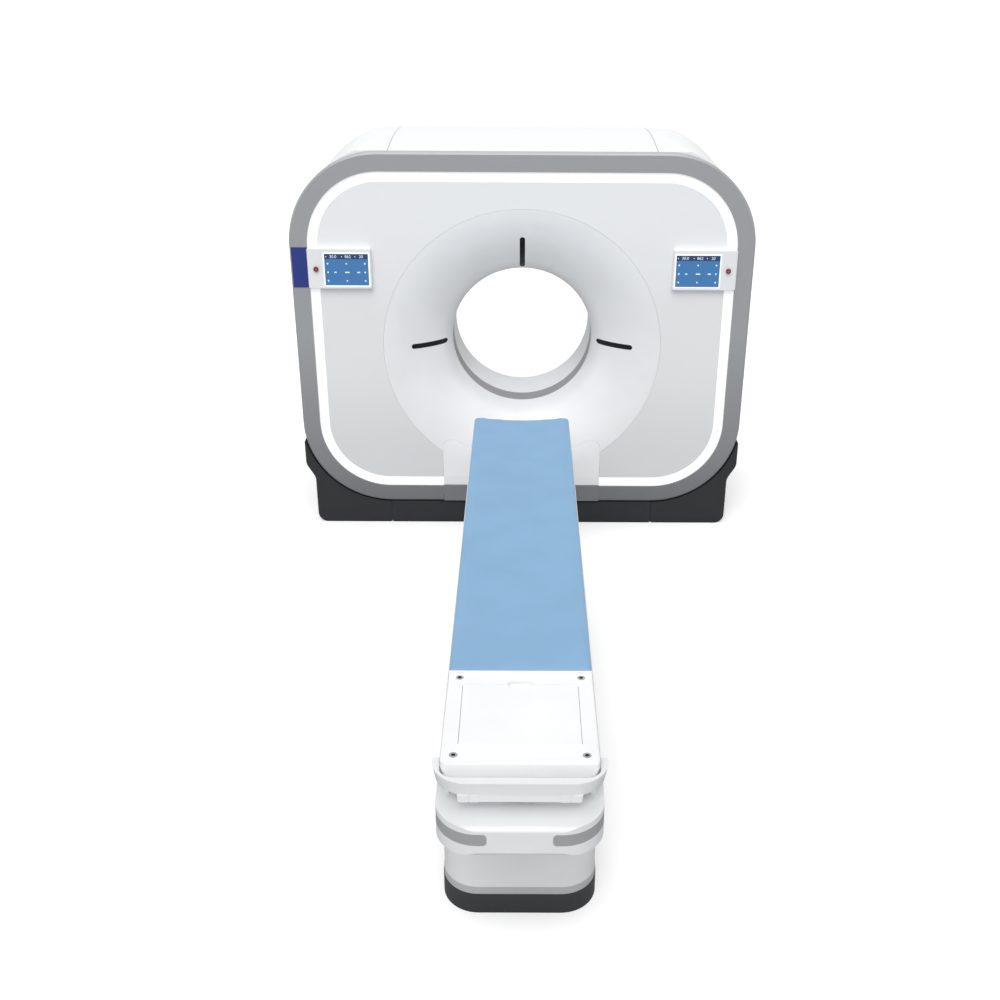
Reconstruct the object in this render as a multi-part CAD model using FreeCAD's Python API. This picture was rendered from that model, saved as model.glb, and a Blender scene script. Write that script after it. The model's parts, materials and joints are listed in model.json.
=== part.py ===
import FreeCAD, Part
import math
import os

# Computed tomography scanner: a gantry with a patient bore and a lifting couch.
# Millimetres. +Z is up, +Y runs along the bore from the couch's foot to the back
# of the gantry, and the origin is on the floor under the centre of the scan plane.

V = FreeCAD.Vector

# ---- Fits used all over ----
SEAM = 0.8
FIT = 0.3
PIN_FIT = 0.05
PAST = 1.0

# ---- Gantry: bore and mouth ----
BORE_R = 360.0
ISO_Z = 982.0
FUNNEL_R = 697.0
FUNNEL_T = 6.0
THROAT_R = 170.0
WINDOW_HALF_W = 52.5
WINDOW_T = 3.0
LASER_OUT_R = 558.0
LASER_IN_R = 383.0
LASER_W = 26.0
LASER_FIT = 0.4
REAR_BORE_STRAIGHT = 250.0
REAR_MOUTH_R = 520.0

# ---- Gantry: face ----
FACE_BESIDE = 434.6
FACE_OVER = 262.0
FACE_BOTTOM = 136.0
FACE_CORNER_R = 443.0
FACE_Y = -294.0
TRIM_W = 87.0
TRIM_DEPTH = 60.0
TRIM_WALL = 6.0
TRIM_CHAMFER = 8.0
LIGHT_W = 48.0
LIGHT_T = 12.0
PANEL_SETBACK = 8.0
PANEL_T = 6.0
PANEL_RETURN = 34.0

# ---- Housing behind the face ----
HOUSING_REAR = 580.0
HOUSING_T = 5.0
HOUSING_INSET = 3.0
HOUSING_LIP = 24.0
CROWN_Y = 150.0
CROWN_RISE = 36.0
CROWN_R = 3000.0
SHOULDER_R = 520.0
REAR_PAN = 120.0
REAR_TOP_RISE = 10.0
REAR_SHOULDER_R = 475.0
REAR_CHAMFER = 70.0
TOP_SEAM_IN = 46.6

# ---- Gantry feet and kick plate ----
FOOT_FRONT = -276.0
FOOT_REAR = 500.0
FOOT_GAP = 12.0
FOOT_TUCK = 39.6
FOOT_CORNER_R = 52.0
FOOT_WALL = 8.0
FOOT_SEAM_OUT = 7.4
ARM_OVER = 5.4
ARM_TIP_DROP = 109.0
ARM_STEP_RISE = 138.0
ARM_BEND_H = 75.0
ARM_BEND_R = 70.0
ARM_TIP_R = 6.0
KICK_LIP = 24.0
KICK_CHAMFER = 6.0
NOTCH_R = 12.0

# ---- Control panels on the face ----
CONTROL_W = 309.0
CONTROL_RISE = 412.0
CONTROL_H = 198.0
CONTROL_T = 32.0
CONTROL_R = 8.0
CONTROL_CHAMFER = 3.0
SCREEN_IN = 12.0
SCREEN_DROP = 4.0
SCREEN_W = 214.0
SCREEN_H = 156.0
SCREEN_T = 4.0
SCREEN_FIT = 0.5
STOP_IN = 41.6
STOP_R = 12.0
STOP_HEAD_H = 9.0
STOP_STEM_R = 6.0
STOP_STEM_L = 23.0
STOP_TRAVEL = 4.0
STOP_CLEAR = 1.0
TAG_T = 2.5

# ---- Docking panel at the bottom of the face ----
DOCK_HALF_W = 411.0
DOCK_H = 373.0
DOCK_SLOPE = 0.49
DOCK_CORNER_R = 45.0
DOCK_HOLLOW_R = 600.0
DOCK_T = 20.0

# ---- Rotating part ----
ROTOR_R = 760.0
ROTOR_Y = 115.0
ROTOR_T = 25.0
HUB_GAP = 19.0
HUB_WALL = 20.0
HUB_RUN = 10.0
RACE_H = 36.7
RACE_GAP = 0.3
RACE_W = 45.0
RACE_T = 58.0
RACE_END_GAP = 5.0
SLIP_W = 45.0
SLIP_T = 38.0
BRUSH_HALF_W = 60.0
BRUSH_GAP = 2.0
BRUSH_H = 95.0
BRUSH_WRAP = 20.0
TUBE_R = 95.0
TUBE_RIM_GAP = 15.0
TUBE_FRONT = -130.0
TUBE_CAP_L = 25.0
TUBE_CAP_SHARE = 0.7
TUBE_SADDLE_H = 12.0
FAN_FRONT = -65.0
FOCUS_DROP = 80.0
COLLIMATOR_HALF_W = 150.0
COLLIMATOR_TOP_HALF_W = 76.0
COLLIMATOR_GAP = 60.0
DETECTOR_IN_R = 465.0
DETECTOR_T = 62.0
DETECTOR_HALF_ANGLE = 25.0
TANK_FRONT = -120.0
TANK_HALF_H = 130.0
TANK_DROP = 173.0
TANK_GAP = 90.0
TANK_RIM_GAP = 20.0
TANK_EDGE_R = 15.0

# ---- Fixed frame and rotation drive ----
STATOR_Y = 205.0
STATOR_T = 40.0
STATOR_SEAT = 13.0
STATOR_HEAD = 330.0
STATOR_SIDE = 140.0
STATOR_SHOULDER = 400.0
STATOR_HEAD_IN = 120.0
STATOR_HEAD_R = 200.0
STATOR_SHOULDER_R = 300.0
STATOR_LEG_H = 150.0
STATOR_LEG_R = 80.0
STATOR_ARM_IN = 40.0
STATOR_ARM_HALF_H = 40.0
MOTOR_ANGLE = 41.2
MOTOR_GAP = 40.0
MOTOR_R = 75.0
MOTOR_L = 170.0
PULLEY_R = 50.0
PULLEY_FLANGE = 5.0
PULLEY_SHAFT_R = 15.0
PULLEY_SHAFT_GAP = 10.0
PULLEY_SHAFT_IN = 35.0
BELT_T = 4.0
BELT_W = 19.0
BELT_GAP = 0.3

# ---- Base frame and floor bolts ----
RAIL_W = 90.0
RAIL_H = 84.0
RAIL_WALL = 10.0
BOLT_X = 900.0
BOLT_R = 11.0
LEG_IN_X = 470.0
LEG_OUT_X = 640.0
LEG_SEAT = 60.0

# ---- Couch top: lengths along the bore, then widths and heights at rest ----
PAD_HEAD_Y = -974.0
PAD_L = 2045.0
TOP_HEAD_OUT = 6.0
TOP_FOOT_GAP = 2.0
COVER_L = 420.0
COVER_GAP = 0.5
SLIDE_TRAVEL = 1750.0
TOP_HALF_W = 215.0
TOP_Z = 870.0
CRADLE_DEPTH = 70.0
CRADLE_SIDE_H = 20.0
CRADLE_FLAT = 150.0
CRADLE_UNDER_R = 60.0
CRADLE_SIDE_R = 24.0
CRADLE_EDGE_R = 3.0
CRADLE_LIP = 1.5
TROUGH_SINK = 2.0
TROUGH_DEPTH = 12.0
PAD_T = 13.0
PAD_CROWN = 3.0
PAD_BULGE = 1.0
PAD_EDGE_R = 5.0
PAD_CORNER_R = 30.0
PAD_GAP = 0.4
COVER_DROP = 5.0
COVER_FLOOR = 11.0
COVER_EDGE_R = 5.0
COVER_FLAT = 182.0
COVER_UNDER_R = 30.0
COVER_CORNER_R = 42.0

# ---- Hatch, its pins, and the cover's screws ----
HATCH_SIDE = 46.5
HATCH_HEAD = 55.0
HATCH_FOOT = 78.0
HATCH_T = 8.0
HATCH_R = 12.0
HATCH_PIVOT_R = 2.0
HATCH_GAP = 1.5
HATCH_SEAT = 0.5
HATCH_PIN_R = 3.0
HATCH_PIN_L = 6.0
LEDGE_W = 8.0
TRAY_R = 10.0
GRIP_HALF_W = 37.0
GRIP_REACH = 15.0
GRIP_DEPTH = 6.0
SCREW_SIDE = 35.0
SCREW_HEAD = 19.0
SCREW_FOOT = 35.0
SCREW_R = 11.5
SCREW_HEAD_H = 3.0

# ---- Rim round the foot of the couch top ----
RIM_AHEAD = 49.5
RIM_OVER = 6.0
RIM_UP = 100.0
RIM_H = 36.0
RIM_W = 20.0
RIM_DRAFT = 8.0
RIM_CORNER_R = 98.0
RIM_ARM_L = 112.0
APRON_HALF_W = 166.0
APRON_DROP = 27.0
APRON_T = 8.0
LEDGE_T = 6.0
PEDESTAL_SETBACK = 26.0
PEDESTAL_T = 14.0
PEDESTAL_L = 30.0
LUG_X = 136.0
LUG_W = 24.0
LUG_GAP = 4.0
LUG_T = 4.0
LUG_DROP = 4.0

# ---- Couch body ----
BODY_SIDE = 15.0
BODY_FOOT = 58.5
BODY_HEAD_Y = -775.0
DECK_GAP = 60.0
BODY_H = 125.0
BODY_NOSE_H = 94.0
BODY_CORNER_R = 118.0
BODY_EDGE_R = 14.0
BODY_KEEL_R = 300.0
BODY_FOOT_KEEL = 60.0
BODY_HEAD_KEEL = 90.0
BODY_WALL = 5.0
SLOT_GAP = 8.0
SLOT_R = 20.0
INLAY_IN_X = 88.0
INLAY_DROP = 20.0
INLAY_H = 38.0
INLAY_T = 3.0
INLAY_L = 330.0
INLAY_R = 12.0

# ---- Couch base and lift ----
COUCH_BASE_BACK = 448.0
COUCH_BASE_L = 1814.0
COUCH_BASE_OVER = 20.0
COUCH_CORNER_R = 118.0
KICK_H = 78.0
PLINTH_H = 28.0
PLINTH_INSET = 2.0
SHROUD_INSET = 4.0
SHROUD_T = 4.0
SHROUD_GAP = 6.0
SHROUD_FOOT = 40.0
SHROUD_WEB = 4.0
LIFT_GAP = 10.0
LIFT_DOWN = 275.0
PLATE_T = 12.0
COUCH_BOLT_SIDE = 60.0
COUCH_BOLT_END = 87.0
COLUMN_Y = 450.0
COLUMN_W = 120.0
COLUMN_WALL = 6.0
COLUMN_GAP = 0.5
COLUMN_FOOT = 3.0

# ---- Couch slide: roller, drive, rails and carriage ----
ROLLER_BACK = 45.0
ROLLER_R = 25.0
ROLLER_IN_X = 30.0
ROLLER_OUT_X = 140.0
ROLLER_SHAFT_R = 8.0
ROLLER_GAP = 0.3
EAR_T = 12.0
EAR_GAP = 4.0
EAR_HALF_L = 30.0
EAR_R = 15.0
EAR_RISE = 20.0
DRIVE_BACK = 180.0
DRIVE_R = 22.0
DRIVE_HALF_W = 15.0
DRIVE_SHAFT_R = 6.0
DRIVE_SHAFT_L = 36.0
MOTOR_BOX_GAP = 5.0
MOTOR_BOX_W = 90.0
MOTOR_BOX_HALF_L = 32.0
STRIP_T = 3.0
STRIP_HALF_W = 12.0
STRIP_HEAD = 17.0
STRIP_HOLD = 15.0
GUIDE_X = 125.0
GUIDE_W = 20.0
GUIDE_DROP = 28.0
CARRIAGE_HEAD = 59.0
CARRIAGE_FOOT = 12.0
CARRIAGE_HALF_W = 145.0
RAIL_OVERRUN = 100.0
TUNNEL_HALF_W = 40.0
TUNNEL_ROOF = 30.0

# ---- Sizes that follow: gantry ----
FACE_HALF_W = FUNNEL_R + FACE_BESIDE
FACE_TOP = ISO_Z + FUNNEL_R + FACE_OVER
PANEL_Y = FACE_Y + PANEL_SETBACK
TRIM_BACK = FACE_Y + TRIM_DEPTH
PANEL_INSET = TRIM_W + LIGHT_W
CORNER_X = FACE_HALF_W - FACE_CORNER_R
LOWER_CORNER_Z = FACE_BOTTOM + FACE_CORNER_R
TOP_SEAM_X = CORNER_X - TOP_SEAM_IN
TOP_SEAM_Z = FACE_TOP - FACE_CORNER_R
FOOT_TOP = FACE_BOTTOM - FOOT_GAP
FOOT_HALF_W = FACE_HALF_W - FOOT_TUCK
FOOT_SEAM_X = CORNER_X + FOOT_SEAM_OUT
ARM_HALF_W = FACE_HALF_W + ARM_OVER
ARM_TIP_Z = LOWER_CORNER_Z - ARM_TIP_DROP
ARM_STEP_Z = FOOT_TOP + ARM_STEP_RISE
CONTROL_OUT_X = FACE_HALF_W - TRIM_W
CONTROL_IN_X = CONTROL_OUT_X - CONTROL_W
CONTROL_Z = ISO_Z + CONTROL_RISE
STOP_X = CONTROL_OUT_X - STOP_IN
STOP_Y = PANEL_Y - CONTROL_T
DOCK_PEAK_Z = FACE_BOTTOM + DOCK_H
DOCK_VALLEY_Z = DOCK_PEAK_Z - DOCK_SLOPE * DOCK_HALF_W
HUB_BORE_R = BORE_R + FUNNEL_T + HUB_GAP
HUB_R = HUB_BORE_R + HUB_WALL
RACE_R = HUB_R + RACE_H
STATOR_HOLE_R = RACE_R + RACE_GAP + STATOR_SEAT
TUBE_CENTRE_R = ROTOR_R - TUBE_R - TUBE_RIM_GAP
FOCUS_R = TUBE_CENTRE_R - FOCUS_DROP
DETECTOR_R = FOCUS_R + DETECTOR_IN_R
TANK_IN_X = HUB_BORE_R + TANK_GAP
MOTOR_REACH = ROTOR_R + PULLEY_R + MOTOR_GAP
MOTOR_X = MOTOR_REACH * math.cos(math.radians(MOTOR_ANGLE))
MOTOR_Z = ISO_Z - MOTOR_REACH * math.sin(math.radians(MOTOR_ANGLE))
BELT_Y = ROTOR_Y + (ROTOR_T - BELT_W) / 2
RAIL_Y = -FOOT_FRONT - FOOT_WALL - FIT - RAIL_W / 2
RAIL_HALF_L = FOOT_HALF_W - FOOT_WALL - FOOT_CORNER_R

# ---- Sizes that follow: couch ----
PAD_FOOT_Y = PAD_HEAD_Y - PAD_L
TOP_HEAD_Y = PAD_HEAD_Y + TOP_HEAD_OUT
CRADLE_BOTTOM = TOP_Z - CRADLE_DEPTH
SHOULDER_Z = TOP_Z - CRADLE_SIDE_H
COVER_FOOT_Y = PAD_FOOT_Y - COVER_L
COVER_BOTTOM = CRADLE_BOTTOM - COVER_DROP
COMPARTMENT_FLOOR = COVER_BOTTOM + COVER_FLOOR
HATCH_HALF_W = TOP_HALF_W - HATCH_SIDE
HATCH_HEAD_Y = PAD_FOOT_Y - HATCH_HEAD
HATCH_FOOT_Y = COVER_FOOT_Y + HATCH_FOOT
HATCH_AXIS_Y = HATCH_FOOT_Y + HATCH_T / 2
HATCH_AXIS_Z = TOP_Z - HATCH_T / 2
SCREW_X = TOP_HALF_W - SCREW_SIDE
SCREW_HEAD_Y = PAD_FOOT_Y - SCREW_HEAD
SCREW_FOOT_Y = COVER_FOOT_Y + SCREW_FOOT
BODY_HALF_W = TOP_HALF_W + BODY_SIDE
RIM_HALF_W = BODY_HALF_W + RIM_OVER
RIM_FOOT_Y = COVER_FOOT_Y - RIM_AHEAD
BODY_FOOT_Y = RIM_FOOT_Y - BODY_FOOT
DECK_Z = CRADLE_BOTTOM - DECK_GAP
BODY_BOTTOM = DECK_Z - BODY_H
RIM_TOP = DECK_Z + RIM_UP
RIM_LOW = RIM_TOP - RIM_H
RIM_ARM_Y = RIM_FOOT_Y + RIM_ARM_L
INLAY_TOP = DECK_Z - INLAY_DROP
COUCH_BASE_HALF_W = BODY_HALF_W + COUCH_BASE_OVER
COUCH_FRONT = BODY_FOOT_Y + COUCH_BASE_BACK
COUCH_REAR = COUCH_FRONT + COUCH_BASE_L
COUCH_MID_Y = COUCH_FRONT + COUCH_BASE_L / 2
COUCH_BOLT_X = COUCH_BASE_HALF_W - COUCH_BOLT_SIDE
COUCH_BOLT_Y = COUCH_BASE_L / 2 - COUCH_BOLT_END
PLINTH_TOP = KICK_H + PLINTH_H
LOWEST_BODY = BODY_BOTTOM - LIFT_DOWN
LOWER_SHROUD_TOP = LOWEST_BODY - LIFT_GAP
ROLLER_Y = BODY_HEAD_Y - ROLLER_BACK
ROLLER_Z = CRADLE_BOTTOM - ROLLER_GAP - ROLLER_R
DRIVE_Y = ROLLER_Y - DRIVE_BACK
DRIVE_Z = CRADLE_BOTTOM - STRIP_T - ROLLER_GAP - DRIVE_R
GUIDE_TOP = DECK_Z - GUIDE_DROP
CARRIAGE_HEAD_Y = PAD_FOOT_Y + CARRIAGE_HEAD


# ---- Small drawing helpers ----
def spot(axis, station, u, v):
    """Point at a station on one axis; u and v are the other two, in X, Y, Z order."""
    if axis == "x":
        return V(station, u, v)
    if axis == "y":
        return V(u, station, v)
    return V(u, v, station)


def outline(axis, station, corners):
    """Closed wire through (u, v, radius) corners, each rounded by its radius."""
    edges = []
    starts = []
    ends = []
    middles = []
    for i in range(len(corners)):
        u, v, radius = corners[i]
        here = spot(axis, station, u, v)
        before = spot(axis, station, *corners[i - 1][:2]) - here
        after = spot(axis, station, *corners[(i + 1) % len(corners)][:2]) - here
        before.normalize()
        after.normalize()
        half = before.getAngle(after) / 2
        reach = radius / math.tan(half)
        bisector = before + after
        starts.append(here + before * reach)
        ends.append(here + after * reach)
        if radius > 0:
            bisector.normalize()
            bisector = bisector * (radius / math.sin(half) - radius)
        middles.append(here + bisector)
    for i in range(len(corners)):
        if corners[i][2] > 0:
            edges.append(Part.Arc(starts[i], middles[i], ends[i]).toShape())
        following = starts[(i + 1) % len(corners)]
        if ends[i].distanceToPoint(following) > 0.001:
            edges.append(Part.makeLine(ends[i], following))
    return Part.Wire(edges)


def prism(axis, corners, start, end):
    """Solid of one outline between two stations on an axis."""
    face = Part.Face(outline(axis, start, corners))
    return face.extrude(spot(axis, end - start, 0, 0))


def mirrored(half):
    """Whole outline from its right half, listed from the bottom to the top."""
    return half + [(-u, v, radius) for u, v, radius in reversed(half)]


def box(x0, x1, y0, y1, z0, z1):
    return Part.makeBox(x1 - x0, y1 - y0, z1 - z0, V(x0, y0, z0))


def rod(axis, radius, start, end, u, v):
    """Cylinder along an axis, centred on (u, v) of the other two."""
    return Part.makeCylinder(radius, end - start, spot(axis, start, u, v), spot(axis, 1, 0, 0))


def ring(outer, inner, start, end):
    """Ring about the bore axis."""
    return rod("y", outer, start, end, 0, ISO_Z).cut(rod("y", inner, start - 1, end + 1, 0, ISO_Z))


def turned(edges):
    """Solid of revolution about the bore axis, from edges at x > 0."""
    profile = Part.Face(Part.Wire(edges))
    return profile.revolve(V(0, 0, ISO_Z), V(0, 1, 0), 360)


def join(shapes):
    result = shapes[0]
    for shape in shapes[1:]:
        result = result.fuse(shape)
    return result.removeSplitter()


def flip(shape):
    """The same piece on the other side of the machine."""
    return shape.mirror(V(0, 0, 0), V(1, 0, 0))


def save(node, shape):
    """Writes one node, and prints its solids and volume."""
    pieces = shape.Solids
    result = pieces[0] if len(pieces) == 1 else Part.makeCompound(pieces)
    result.exportStep("parts/" + node + ".step")
    print(node, len(pieces), round(shape.Volume / 1000.0, 1), shape.isValid())


# ---- Gantry face ----
def face_corners(inset):
    """Rounded outline of the face, drawn in by an inset."""
    half = FACE_HALF_W - inset
    radius = FACE_CORNER_R - inset
    return mirrored([(half, FACE_BOTTOM + inset, radius), (half, FACE_TOP - inset, radius)])


def dock_corners(grow):
    """Outline of the docking panel: a round hollow between two peaks, grown by a seam."""
    half = DOCK_HALF_W + grow
    valley = DOCK_VALLEY_Z + grow * math.hypot(1, DOCK_SLOPE)
    peak = valley + DOCK_SLOPE * half
    right = [(half, FACE_BOTTOM - grow, 0), (half, peak, DOCK_CORNER_R + grow)]
    left = [(-x, z, radius) for x, z, radius in reversed(right)]
    return right + [(0, valley, DOCK_HOLLOW_R - grow)] + left


def dock_space(grow, start):
    return prism("y", dock_corners(grow), start, TRIM_BACK + 1)


def make_trim_ring():
    whole = prism("y", face_corners(0), FACE_Y, TRIM_BACK)
    front = [edge for edge in whole.Edges if abs(edge.CenterOfMass.y - FACE_Y) < 0.01]
    whole = whole.makeChamfer(TRIM_CHAMFER, front)
    opening = prism("y", face_corners(TRIM_W), FACE_Y - 1, TRIM_BACK + 1)
    pocket = prism("y", face_corners(TRIM_WALL), FACE_Y + TRIM_WALL, TRIM_BACK + 1)
    web = prism("y", face_corners(TRIM_W - TRIM_WALL), FACE_Y, TRIM_BACK)
    shape = whole.cut(opening).cut(pocket.cut(web))
    return shape.cut(dock_space(SEAM, FACE_Y - 1))


def make_light_band():
    outer = prism("y", face_corners(TRIM_W + FIT), PANEL_Y, PANEL_Y + LIGHT_T)
    inner = prism("y", face_corners(PANEL_INSET), PANEL_Y - 1, PANEL_Y + LIGHT_T + 1)
    return outer.cut(inner).cut(dock_space(SEAM, FACE_Y - 1))


def make_front_panel():
    back = PANEL_Y + PANEL_RETURN
    tray = prism("y", face_corners(PANEL_INSET + SEAM), PANEL_Y, back)
    hollow = prism("y", face_corners(PANEL_INSET + SEAM + PANEL_T), PANEL_Y + PANEL_T, back + 1)
    mouth = rod("y", FUNNEL_R + SEAM, PANEL_Y - 1, back + 1, 0, ISO_Z)
    return tray.cut(hollow).cut(mouth).cut(dock_space(SEAM, FACE_Y - 1))


def make_docking_panel():
    """Removable panel under the bore; its top follows the trumpet-shaped mouth."""
    plate = dock_space(0, PANEL_Y).cut(rod("y", FUNNEL_R, PANEL_Y - 1, TRIM_BACK + 2, 0, ISO_Z))
    dished = funnel_body().common(dock_space(0, PANEL_Y))
    lower = box(-DOCK_HALF_W, DOCK_HALF_W, FACE_Y, PANEL_Y, FACE_BOTTOM, FACE_BOTTOM + TRIM_W)
    wide = DOCK_HALF_W + 1
    behind = box(-wide, wide, PANEL_Y + DOCK_T, TRIM_BACK + 2, FACE_BOTTOM - 1, DOCK_PEAK_Z)
    return join([plate.cut(behind), dished, lower])


def mouth_arcs(wall):
    """Centre and radius of the rim arc and of the throat arc, which meet in one tangent."""
    across = FUNNEL_R - BORE_R
    deep = -WINDOW_HALF_W - PANEL_Y
    rim_r = (deep ** 2 + (across - THROAT_R) ** 2 - THROAT_R ** 2) / (2 * (deep - THROAT_R))
    turn = math.atan2(across - THROAT_R, rim_r - deep)
    rim_centre = V(FUNNEL_R, PANEL_Y + rim_r, ISO_Z)
    throat_centre = V(BORE_R + THROAT_R, -WINDOW_HALF_W, ISO_Z)
    return rim_centre, rim_r - wall, throat_centre, THROAT_R - wall, turn


def mouth_point(centre, radius, turn):
    return centre - V(radius * math.sin(turn), radius * math.cos(turn), 0)


def funnel_body():
    """Trumpet-shaped mouth; its back is drawn with straight slopes."""
    rim_c, rim_r, throat_c, throat_r, turn = mouth_arcs(0)
    rim = mouth_point(rim_c, rim_r, 0)
    rim_mid = mouth_point(rim_c, rim_r, turn / 2)
    meet = mouth_point(rim_c, rim_r, turn)
    throat_mid = mouth_point(throat_c, throat_r, (turn + math.pi / 2) / 2)
    throat = mouth_point(throat_c, throat_r, math.pi / 2)
    rim_c, rim_r, throat_c, throat_r, turn = mouth_arcs(FUNNEL_T)
    back = [
        mouth_point(throat_c, throat_r, math.pi / 2),
        mouth_point(throat_c, throat_r, turn),
        mouth_point(rim_c, rim_r, turn / 2),
        mouth_point(rim_c, rim_r, 0),
    ]
    edges = [Part.Arc(rim, rim_mid, meet).toShape(), Part.Arc(meet, throat_mid, throat).toShape()]
    path = [throat] + back + [rim]
    for i in range(len(path) - 1):
        edges.append(Part.makeLine(path[i], path[i + 1]))
    return turned(edges)


def laser_slot(angle, grow):
    """Round-ended bar through the mouth for one positioning light."""
    half = LASER_W / 2 + grow
    low = ISO_Z + LASER_IN_R - grow
    high = ISO_Z + LASER_OUT_R + grow
    corners = mirrored([(half, low, half * 0.98), (half, high, half * 0.98)])
    bar = prism("y", corners, PANEL_Y - 20, -WINDOW_HALF_W)
    bar.rotate(V(0, 0, ISO_Z), V(0, 1, 0), angle)
    return bar


def make_funnel_and_lasers():
    body = funnel_body().cut(dock_space(SEAM, PANEL_Y - 1))
    windows = []
    for angle in (0, 90, -90):
        windows.append(body.common(laser_slot(angle, -LASER_FIT)))
        body = body.cut(laser_slot(angle, 0))
    return body, Part.makeCompound(windows)


def make_rear_bore():
    """Straight sleeve that widens as a cone to the rear cover."""
    start = WINDOW_HALF_W
    bend = WINDOW_HALF_W + REAR_BORE_STRAIGHT
    outer = BORE_R + FUNNEL_T
    mouth = REAR_MOUTH_R + FUNNEL_T
    points = [
        V(BORE_R, start, ISO_Z),
        V(BORE_R, bend, ISO_Z),
        V(REAR_MOUTH_R, HOUSING_REAR, ISO_Z),
        V(mouth, HOUSING_REAR, ISO_Z),
        V(outer, bend, ISO_Z),
        V(outer, start, ISO_Z),
    ]
    edges = [Part.makeLine(points[i - 1], points[i]) for i in range(len(points))]
    return turned(edges)


# ---- Housing covers ----
def housing(inset, front, back):
    """Housing between two stations: crowned along its length, rounded at its shoulders."""
    half = FACE_HALF_W - HOUSING_INSET - inset
    low = FACE_BOTTOM + HOUSING_INSET + inset
    high = FACE_TOP + CROWN_RISE - inset
    corner = FACE_CORNER_R - HOUSING_INSET - inset
    across = mirrored([(half, low, corner), (half, high, SHOULDER_R - inset)])
    along = [
        (front, low, 0),
        (back, low, 0),
        (back, FACE_TOP + REAR_TOP_RISE - inset, 0),
        (CROWN_Y, high, CROWN_R),
        (front, FACE_TOP - inset, 0),
    ]
    return prism("y", across, front, back).common(prism("x", along, -half - 1, half + 1))


def rear_pan(inset, start):
    """Rear end of the housing, with a sloped edge all the way round."""
    half = FACE_HALF_W - HOUSING_INSET - inset
    low = FACE_BOTTOM + HOUSING_INSET + inset
    high = FACE_TOP + REAR_TOP_RISE - inset
    rear = HOUSING_REAR - inset
    corner = FACE_CORNER_R - HOUSING_INSET - inset
    pan = prism("y", mirrored([(half, low, corner), (half, high, REAR_SHOULDER_R - inset)]), start, rear)
    rim = [edge for edge in pan.Edges if edge.BoundBox.YMin > rear - 0.01]
    return pan.makeChamfer(REAR_CHAMFER - inset / 2, rim)


def make_covers():
    split = HOUSING_REAR - REAR_PAN
    lip_back = TRIM_BACK + HOUSING_T
    shell = housing(0, TRIM_BACK, split).cut(housing(HOUSING_T, lip_back, split + 1))
    shell = shell.cut(prism("y", face_corners(HOUSING_INSET + HOUSING_LIP), TRIM_BACK - 1, lip_back + 1))
    wide = FACE_HALF_W + 10
    top = FACE_TOP + CROWN_RISE + 10
    seam_x = TOP_SEAM_X + SEAM
    low_seam = TOP_SEAM_Z - SEAM
    covers = {}
    middle = box(-TOP_SEAM_X, TOP_SEAM_X, TRIM_BACK, split, TOP_SEAM_Z, top)
    covers["top_cover_center"] = shell.common(middle)
    covers["top_cover_right"] = shell.common(box(seam_x, wide, TRIM_BACK, split, TOP_SEAM_Z, top))
    covers["side_cover_right"] = shell.common(box(seam_x, wide, TRIM_BACK, split, 0, low_seam))
    rear = rear_pan(0, split + SEAM).cut(rear_pan(HOUSING_T, split))
    mouth = rod("y", REAR_MOUTH_R + FUNNEL_T + LASER_FIT, split, HOUSING_REAR + 1, 0, ISO_Z)
    covers["rear_cover"] = rear.cut(mouth)
    covers["top_cover_left"] = flip(covers["top_cover_right"])
    covers["side_cover_left"] = flip(covers["side_cover_right"])
    return covers


# ---- Gantry foot ----
def foot_form(inset):
    """Right foot with the arm that hugs the housing's lower corner."""
    edge = FOOT_HALF_W - inset
    arm = ARM_HALF_W - inset
    inner = FOOT_SEAM_X + SEAM
    corners = [
        (inner, 0, NOTCH_R if inset == 0 else 0),
        (edge, 0, FOOT_CORNER_R - inset),
        (edge, ARM_STEP_Z, ARM_BEND_R),
        (arm, ARM_STEP_Z + ARM_BEND_H, ARM_BEND_R),
        (arm, ARM_TIP_Z, ARM_TIP_R),
        (inner, ARM_TIP_Z, 0),
    ]
    solid = prism("y", corners, FOOT_FRONT + inset, FOOT_REAR - inset)
    cradle = FACE_CORNER_R + FOOT_GAP + inset
    hug = rod("y", cradle, FOOT_FRONT - 1, FOOT_REAR + 1, CORNER_X, LOWER_CORNER_Z)
    solid = solid.cut(hug)
    over = box(0, CORNER_X, FOOT_FRONT - 1, FOOT_REAR + 1, FOOT_TOP - inset, ARM_TIP_Z + PAST)
    return solid.cut(over)


def make_foot():
    """Cast foot, open underneath and towards the middle."""
    shell = foot_form(0)
    hollow = foot_form(FOOT_WALL)
    below = hollow.common(box(0, ARM_HALF_W, FOOT_FRONT, FOOT_REAR, 0, ARM_STEP_Z - 10))
    open_side = box(
        FOOT_SEAM_X, FOOT_SEAM_X + 2 * FOOT_WALL,
        FOOT_FRONT + FOOT_WALL, FOOT_REAR - FOOT_WALL, -1, FOOT_TOP - FOOT_WALL,
    )
    return shell.cut(below).cut(open_side)


def make_kick_plate():
    corners = mirrored([(FOOT_SEAM_X - SEAM, 0, NOTCH_R), (FOOT_SEAM_X - SEAM, FOOT_TOP, 0)])
    plate = prism("y", corners, FOOT_FRONT, FOOT_FRONT + FOOT_WALL)
    half = FOOT_SEAM_X - SEAM
    lip = box(-half, half, FOOT_FRONT, FOOT_FRONT + KICK_LIP, FOOT_TOP - FOOT_WALL, FOOT_TOP)
    whole = join([plate, lip])
    top_front = [
        edge for edge in whole.Edges
        if abs(edge.CenterOfMass.z - FOOT_TOP) < 0.01 and abs(edge.CenterOfMass.y - FOOT_FRONT) < 0.01
    ]
    return whole.makeChamfer(KICK_CHAMFER, top_front)


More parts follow.
